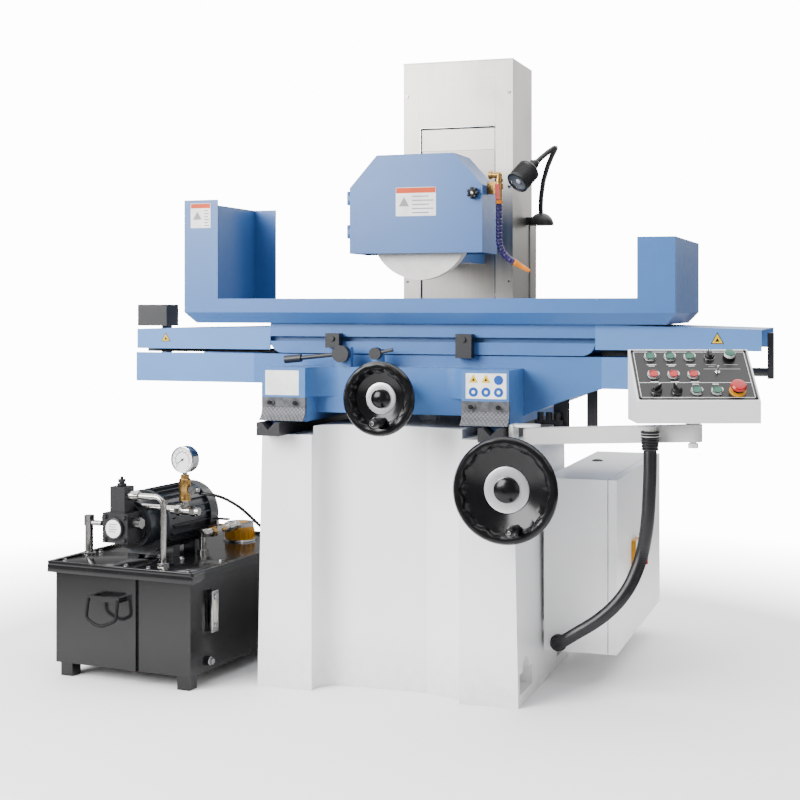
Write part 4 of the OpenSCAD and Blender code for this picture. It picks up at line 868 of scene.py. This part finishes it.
def pumpTrim():
    x, y, z = unitSizes["motor"]
    maker = Maker("pumpTrim")
    face = Matrix.Translation((x, y - 158, z)) @ turn(90, "X")
    maker.add(turned([(0, 2.2), (24, 2.2), (26, 1.4), (26.6, 0), (26.6, -4)], 48), extra["white"], face)
    maker.add(turned([(26, -3), (26.5, 2.8), (29, 3), (31, 1.8), (31, -6)], 48), finish["pump_black"], face)
    for k in range(4):
        maker.add(box((-14, 12 - 7 * k, 2.1), (14 - 5 * (k % 2), 13.6 - 7 * k, 2.6)), extra["dark"], face)
    for bx in (-33, 33):
        for bz in (-33, 33):
            hexBolt(maker, Matrix.Translation((x + bx, y - 150, z + bz)) @ turn(90, "X"), 6.5, 6,
                    finish["pump_black"])
    # hexagon fittings on the bright pipes
    for px, py, pz, way, r in ((x + 52, -228, z + 92, "Y", 15.5), (x + 62, -118 + y, z + 14, "Y", 17),
                               (156, -228, 330, "Z", 18.5), (-154, -155, 330, "Z", 21.5),
                               (172, -176, z + 50, "Y", 15), (222, -176, z + 50, "Y", 15)):
        at = Matrix.Translation((px, py, pz))
        maker.add(hexNut(r, -7, 9, 1.2), finish["pipe_steel"], at @ (turn(90, "Y") if way == "Y" else turn(0, "Z")))
    maker.add(turned([(8, 118), (13, 119), (13.6, 122), (13, 126), (8.6, 127)], 32), finish["pump_black"],
              Matrix.Translation((x, y - 116, z)))
    maker.add(rod(4.5, 130, 146, 1, 20), finish["pump_black"], Matrix.Translation((x, y - 116, z)))
    maker.done("machine_base", (), unitFrame)


def gaugeDial():
    x, y, z = unitSizes["dial"]
    maker = Maker("gaugeDial")
    face = Matrix.Translation((x, y, z)) @ turn(90, "X")
    maker.add(turned([(38.2, -29), (38.6, -2), (38, 1.6), (36, 2.6), (33.6, 2.2), (33, 0.8), (33, 0.2)], 64),
              extra["chrome"], face)
    maker.add(turned([(0, 0.6), (33.2, 0.6)], 64), extra["glass"], face)
    for k in range(11):
        away = turn(225 - 27 * k, "Z") @ Matrix.Translation((27.5, 0, 0.7))
        maker.add(box((-3.4, -0.5, 0), (3, 0.5, 0.5)), extra["dark"], face @ away)
    for first, last, name in ((0, 6, "green"), (6, 9, "orange")):
        for k in range(first * 3, last * 3):
            away = turn(225 - 9 * k - 4.5, "Z") @ Matrix.Translation((22.5, 0, 0.7))
            maker.add(box((-0.9, -1.9, 0), (0.9, 1.9, 0.4)),
                      finish["button_green"] if name == "green" else extra["orange"], face @ away)
    maker.add(box((-7, -0.8, 1.2), (23, 0.8, 1.9), 0.3, 1), extra["dark"], face @ turn(214, "Z"))
    maker.add(rod(3.2, 0.8, 2.6, 0.5, 24), extra["dark"], face)
    # brass body and nuts under the gauge
    post = Matrix.Translation((x, -176, z - 148))
    maker.add(turned([(10.5, 28), (17, 30), (17.6, 34), (16, 40), (16.4, 60), (17.8, 66), (17, 90), (15, 93),
                      (8, 94)], 32), finish["brass"], post)
    maker.add(hexNut(14, 92, 104, 1.2), finish["brass"], post)
    maker.add(hexNut(13.5, 8, 22, 1.2), finish["pipe_steel"], post)
    maker.done("machine_base", (), unitFrame)


def fillerCap():
    x, y, z = unitSizes["filler"]
    maker = Maker("fillerCap")
    at = Matrix.Translation((x, y, z))
    maker.add(turned([(43.4, 4), (45.5, 6), (46, 30), (45, 40), (41, 50), (33, 56.5), (20, 59), (0, 59.4)], 56),
              extra["yellow"], at)
    for k in range(18):
        maker.add(box((44.6, -2.4, 9), (47.8, 2.4, 34), 1), extra["yellow"], at @ turn(20 * k, "Z"))
    maker.add(turned([(52, 5.6), (53, 3), (53, 0.2)], 56), extra["chrome"], at)
    # brass tap and bright unions on the pipe that leads to it
    line = Matrix.Translation((127, 20, z + 58)) @ turn(-90, "X")
    for low, high, r, name in ((4, 20, 17, "pipe_steel"), (52, 72, 18, "brass"), (100, 122, 18, "brass"),
                               (150, 170, 17, "pipe_steel"), (192, 208, 16, "pipe_steel")):
        maker.add(hexNut(r, low, high, 1.4), finish[name], line)
    maker.add(box((-12, 72, -13), (12, 100, 13), 3), finish["brass"], line)
    maker.done("machine_base", (), unitFrame)


tankTrim()
pumpTrim()
gaugeDial()
fillerCap()
print("power unit dressed")

# Work lamp's head, lens to the work
lampSizes = {"tip": (259, 700, 1520), "lean": (-48.2, -35.6), "ribs": 32}


def lampHead():
    maker = Maker("lampHead")
    black = finish["lamp_black"]
    maker.add(turned([(31, -92), (31, -98), (32.5, -100), (35.8, -100), (37, -98.6), (37, -91), (35, -89),
                      (35, -41), (37, -38), (37, -34.4), (33, -30), (24, -23), (15.4, -18), (15.4, -3.4),
                      (11.4, -3.4), (11.4, -14), (0, -16)], 72), black)
    for k in range(lampSizes["ribs"]):
        maker.add(box((33.5, -1.1, -87), (36.9, 1.1, -43), 0.4, 1), black, turn(360 / lampSizes["ribs"] * k, "Z"))
    maker.add(turned([(0, -91), (14, -91.6), (24, -93), (31.2, -94.5)], 56), extra["lens"])
    maker.add(turned([(0, -95.2), (5, -95), (7.5, -94), (8.5, -92)], 32), extra["white"])
    maker.add(turned([(28.6, -94), (29, -96.4), (31.2, -96.8)], 56), extra["chrome"])
    for side in (-1, 1):
        cheek = turn(90 * side, "Y")
        maker.add(rod(6.2, 12.5, 16.6, 0.6, 24), black, cheek)
        maker.add(rod(3.4, 16.4, 17.6, 0.5, 16), extra["chrome"], cheek)
        maker.add(box((12.5 if side > 0 else -16.5, -6, -16), (16.5 if side > 0 else -12.5, 6, 0), 0.8), black)
    x, y, z = lampSizes["tip"]
    maker.done("lamp_head", ["lamp_head"],
               local(x, y, z, (lampSizes["lean"][1], "Z"), (lampSizes["lean"][0], "X")))


def coolantHose():
    sizes = hoseSizes
    step = sizes["link"]
    maker = Maker("coolantHose")
    profile = [(6.6, 0.4), (8.2, -1), (9.4, -4), (9.2, -8), (7.6, -12.4), (8.4, -14), (9.9, -15.2), (9.9, -19),
               (9.2, -20), (6.8, -20.4)]
    at = Matrix.Identity(4)
    for k in range(sizes["drop"] + sizes["curved"]):
        if k >= sizes["drop"]:
            at = at @ turn(-sizes["bend"], "Y")
        maker.add(turned(profile, 32), finish["hose_link"], at)
        at = at @ Matrix.Translation((0, 0, -step))
    maker.add(turned([(7, 0.5), (9.6, -1), (9.6, -7), (8.4, -9), (7.2, -30), (4.9, -50), (4.4, -52), (2.8, -52),
                      (2.8, -44)], 32), extra["amber"], at)
    maker.add(turned([(9.7, 0.2), (10.6, -1.4), (10.6, -8.6), (9.7, -10)], 32), extra["amber"])
    maker.done("coolant_hose", ["coolant_hose"], local(*sizes["at"]))


lampHead()
coolantHose()
print("lamp and coolant hose made")

# Glands of the conduit, the isolator's yellow box, the column's front sheet and other fixings
glandSizes = {"top": (747, -124, 741), "low": (427, 276, 120)}


def ribbedGland(name, body, at, low, high, wide, ribs):
    maker = Maker(name)
    profile = [(17.4, low)]
    for k in range(ribs):
        z0 = low + (high - low) * k / ribs
        z1 = low + (high - low) * (k + 1) / ribs
        r = wide * (1 - 0.12 * k / ribs)
        profile += [(r - 1.6, z0 + 0.3), (r, z0 + (z1 - z0) * 0.25), (r, z0 + (z1 - z0) * 0.7), (r - 1.6, z1 - 0.2)]
    profile.append((17.4, high))
    maker.add(turned(profile, 40), finish["conduit_black"])
    maker.done(body, (), at)


ribbedGland("armGland", "pendant_arm", local(*glandSizes["top"], (180, "X")), -19, 30, 23.6, 7)
ribbedGland("cabinetGland", "machine_base", facing(*glandSizes["low"]), -0.2, 14, 24.4, 3)


isolatorSizes = {"at": (592, 560, 328), "half": (40.6, 50.6), "deep": 14, "screws": (31, 41)}


def isolatorBox():
    x, y, z = isolatorSizes["at"]
    wide, high = isolatorSizes["half"]
    deep = isolatorSizes["deep"]
    maker = Maker("isolatorBox")
    maker.add(box((x - 0.4, y - wide, z - high), (x + deep, y + wide, z + high), 1.5), extra["yellow"])
    maker.add(turned([(26.5, 13.5), (26.5, 20.2), (28, 20.6), (33, 20.2), (33, 13.5)], 48), extra["yellow"],
              Matrix.Translation((x, y, z)) @ turn(90, "Y"))
    screwY, screwZ = isolatorSizes["screws"]
    for oy in (-screwY, screwY):
        for oz in (-screwZ, screwZ):
            maker.add(rod(4, 0, 2.4, 0.6, 16), extra["dark"],
                      Matrix.Translation((x + 13.4, y + oy, z + oz)) @ turn(90, "Y"))
    for oz in (-34, 34):
        maker.add(box((x + 13, y - 12, z + oz - 3), (x + 15, y + 12, z + oz + 3), 0.5), finish["isolator_red"])
    maker.done("cabinet_door", (), local(0, 0, 0))


isolatorBox()


def screwHeads(name, body, material, places, r=6, way=None):
    maker = Maker(name)
    for x, y, z in places:
        at = Matrix.Translation((x, y, z)) @ (way or turn(90, "X"))
        maker.add(rod(r, -0.4, r * 0.62, 0.8, 24), material, at)
        maker.add(hexNut(r * 0.5, r * 0.5, r * 0.66, 0.2), extra["dark"], at)
    maker.done(body, (), local(0, 0, 0))


columnSizes = {"front": 720, "slotHalf": 125, "low": 1001, "recessTop": 1646, "slotTop": 1799, "top": 1857.4,
               "half": 184, "screwX": 170, "screwZ": (1150, 1450, 1750)}


def columnSheet():
    front, wide = columnSizes["front"], columnSizes["slotHalf"]
    low, recess = columnSizes["low"], columnSizes["recessTop"]
    maker = Maker("columnSheet")
    steel = finish["shroud_steel"]
    maker.add(box((-wide - 2, front - 0.3, recess), (wide + 2, front + 3, columnSizes["slotTop"]), 0.6, 1), steel)
    maker.add(box((-columnSizes["half"], front - 0.6, columnSizes["top"] - 4.4),
                  (columnSizes["half"], front + 2, columnSizes["top"]), 0.8, 1), steel)
    for side in (-1, 1):
        maker.add(box((side * wide - 1.2, front - 0.8, low), (side * wide + 1.2, front + 2.6, recess), 0.4, 1),
                  extra["chrome"])
        maker.add(box((side * (wide - 0.4) - 2.4, front + 0.4, low), (side * (wide - 0.4) + 0.6, front + 4.6, recess),
                      0.3, 1), extra["dark"])
    maker.add(box((-wide - 1, front - 0.8, recess - 2.4), (wide + 1, front + 2.6, recess), 0.4, 1), extra["chrome"])
    maker.add(box((-wide, front + 0.4, recess - 6), (wide, front + 4.6, recess - 2.4), 0.3, 1), extra["dark"])
    maker.done("machine_base", (), local(0, 0, 0))
    screwHeads("columnScrews", "machine_base", extra["chrome"],
               [(side * columnSizes["screwX"], front - 0.4, z) for side in (-1, 1) for z in columnSizes["screwZ"]], 5)


columnSheet()


# Dark strips that close the slit between the sliding covers and stand for the shade in it (painted shade), lug on the
# cabinet, and the lobed knob
stripSizes = {"y": (190, 204), "low": 934.4, "left": (-826, -400, 946), "right": (566, 834, 954)}


def shadeStrips():
    near, far = stripSizes["y"]
    maker = Maker("shadeStrips")
    for start, end, top in (stripSizes["left"], stripSizes["right"]):
        maker.add(box((start, near, stripSizes["low"]), (end, far, top), 0.6, 1), finish["steel_black"])
    maker.done("table", (), local(0, 0, 0))


def cabinetLug():
    maker = Maker("cabinetLug")
    lug = Matrix.Translation((442, 776, 583.8))
    maker.add(turned([(0, 5), (9, 5), (11, 4), (17, 2.4), (18, 0)], 40), extra["dark"], lug)
    maker.add(box((-5, -1.2, 4.6), (5, 1.2, 5.6), 0.3, 1), extra["chrome"], lug)
    maker.done("machine_base", (), local(0, 0, 0))


def doorKnob():
    low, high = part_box("door_knob")
    middle = [(a + b) * 500 for a, b in zip(low, high)]
    r = (high[0] - low[0]) * 500
    deep = (high[1] - low[1]) * 1000
    maker = Maker("doorKnob")
    black = finish["knob_black"]
    maker.add(turned([(0, deep * 0.98), (r * 0.3, deep), (r * 0.62, deep * 0.92), (r * 0.74, deep * 0.8),
                      (r * 0.74, deep * 0.5), (r * 0.5, deep * 0.42), (r * 0.42, 0)], 48), black)
    for k in range(7):
        maker.add(turned([(0, deep * 0.94), (r * 0.16, deep * 0.93), (r * 0.27, deep * 0.84), (r * 0.28, deep * 0.56),
                          (r * 0.2, deep * 0.46), (0, deep * 0.44)], 20), black,
                  turn(360 / 7 * k, "Z") @ Matrix.Translation((r * 0.72, 0, 0)))
    maker.add(turned([(0, deep * 1.0), (r * 0.2, deep * 1.0), (r * 0.23, deep * 0.96)], 24), extra["chrome"])
    maker.done("door_knob", ["door_knob"],
               Matrix.Translation((middle[0] / 1000, high[1], middle[2] / 1000)) @ turn(90, "X")
               @ Matrix.Scale(0.001, 4))


shadeStrips()
cabinetLug()
doorKnob()
screwHeads("flapScrews", "saddle", extra["dark"],
           [(side * 291.5 + x, -26.4, 802) for side in (-1, 1) for x in (-38, 38)], 6)
print("small fixings placed")

# Studio: a pale floor, a bright room and soft lamps
studio = {"floor": 6, "fade": (2.0, 8.5), "room": 0.34, "seen": 14, "lamps": [
    ("key", (-3.0, -4.6, 3.2), 3.6, 860), ("fill", (4.8, -3.0, 2.2), 3.6, 60),
    ("top", (0.0, 1.5, 7.0), 12.0, 1700), ("rim", (1.5, 4.4, 3.0), 3.0, 60)]}


def studioSet():
    floor = bmesh.new()
    bmesh.ops.create_grid(floor, x_segments=1, y_segments=1, size=studio["floor"])
    shape = bpy.data.meshes.new("floor")
    floor.to_mesh(shape)
    floor.free()
    pale = Shade("floorPale", 0.75, specular=0.2)
    pale.set("Base Color", pale.blend(pale.noise(2.0, 3), (0.93, 0.93, 0.93), (0.95, 0.95, 0.95)))
    across, along = pale.axis("X"), pale.axis("Y")
    pale.set("Alpha", 1 - (across * across + along * along).rise(*studio["fade"]))
    shape.materials.append(pale.material)
    ground = bpy.data.objects.new("floor", shape)
    ground.location.z = -0.0005
    bpy.context.scene.collection.objects.link(ground)
    world = bpy.data.worlds.new("room")
    world.use_nodes = True
    back = world.node_tree.nodes["Background"]
    back.inputs[0].default_value = (1, 1, 1, 1)
    rays = world.node_tree.nodes.new("ShaderNodeLightPath")
    level = world.node_tree.nodes.new("ShaderNodeMapRange")
    level.inputs["To Min"].default_value = studio["room"]
    level.inputs["To Max"].default_value = studio["seen"]
    world.node_tree.links.new(rays.outputs["Is Camera Ray"], level.inputs["Value"])
    world.node_tree.links.new(level.outputs["Result"], back.inputs[1])
    bpy.context.scene.world = world
    target = Vector((0, 0, 0.8))
    for name, at, size, power in studio["lamps"]:
        lamp = bpy.data.objects.new(name, bpy.data.lights.new(name, "AREA"))
        lamp.data.size = size
        lamp.data.energy = power
        lamp.location = at
        lamp.rotation_euler = (target - Vector(at)).to_track_quat("-Z", "Y").to_euler()
        bpy.context.scene.collection.objects.link(lamp)


studioSet()
print("studio set")
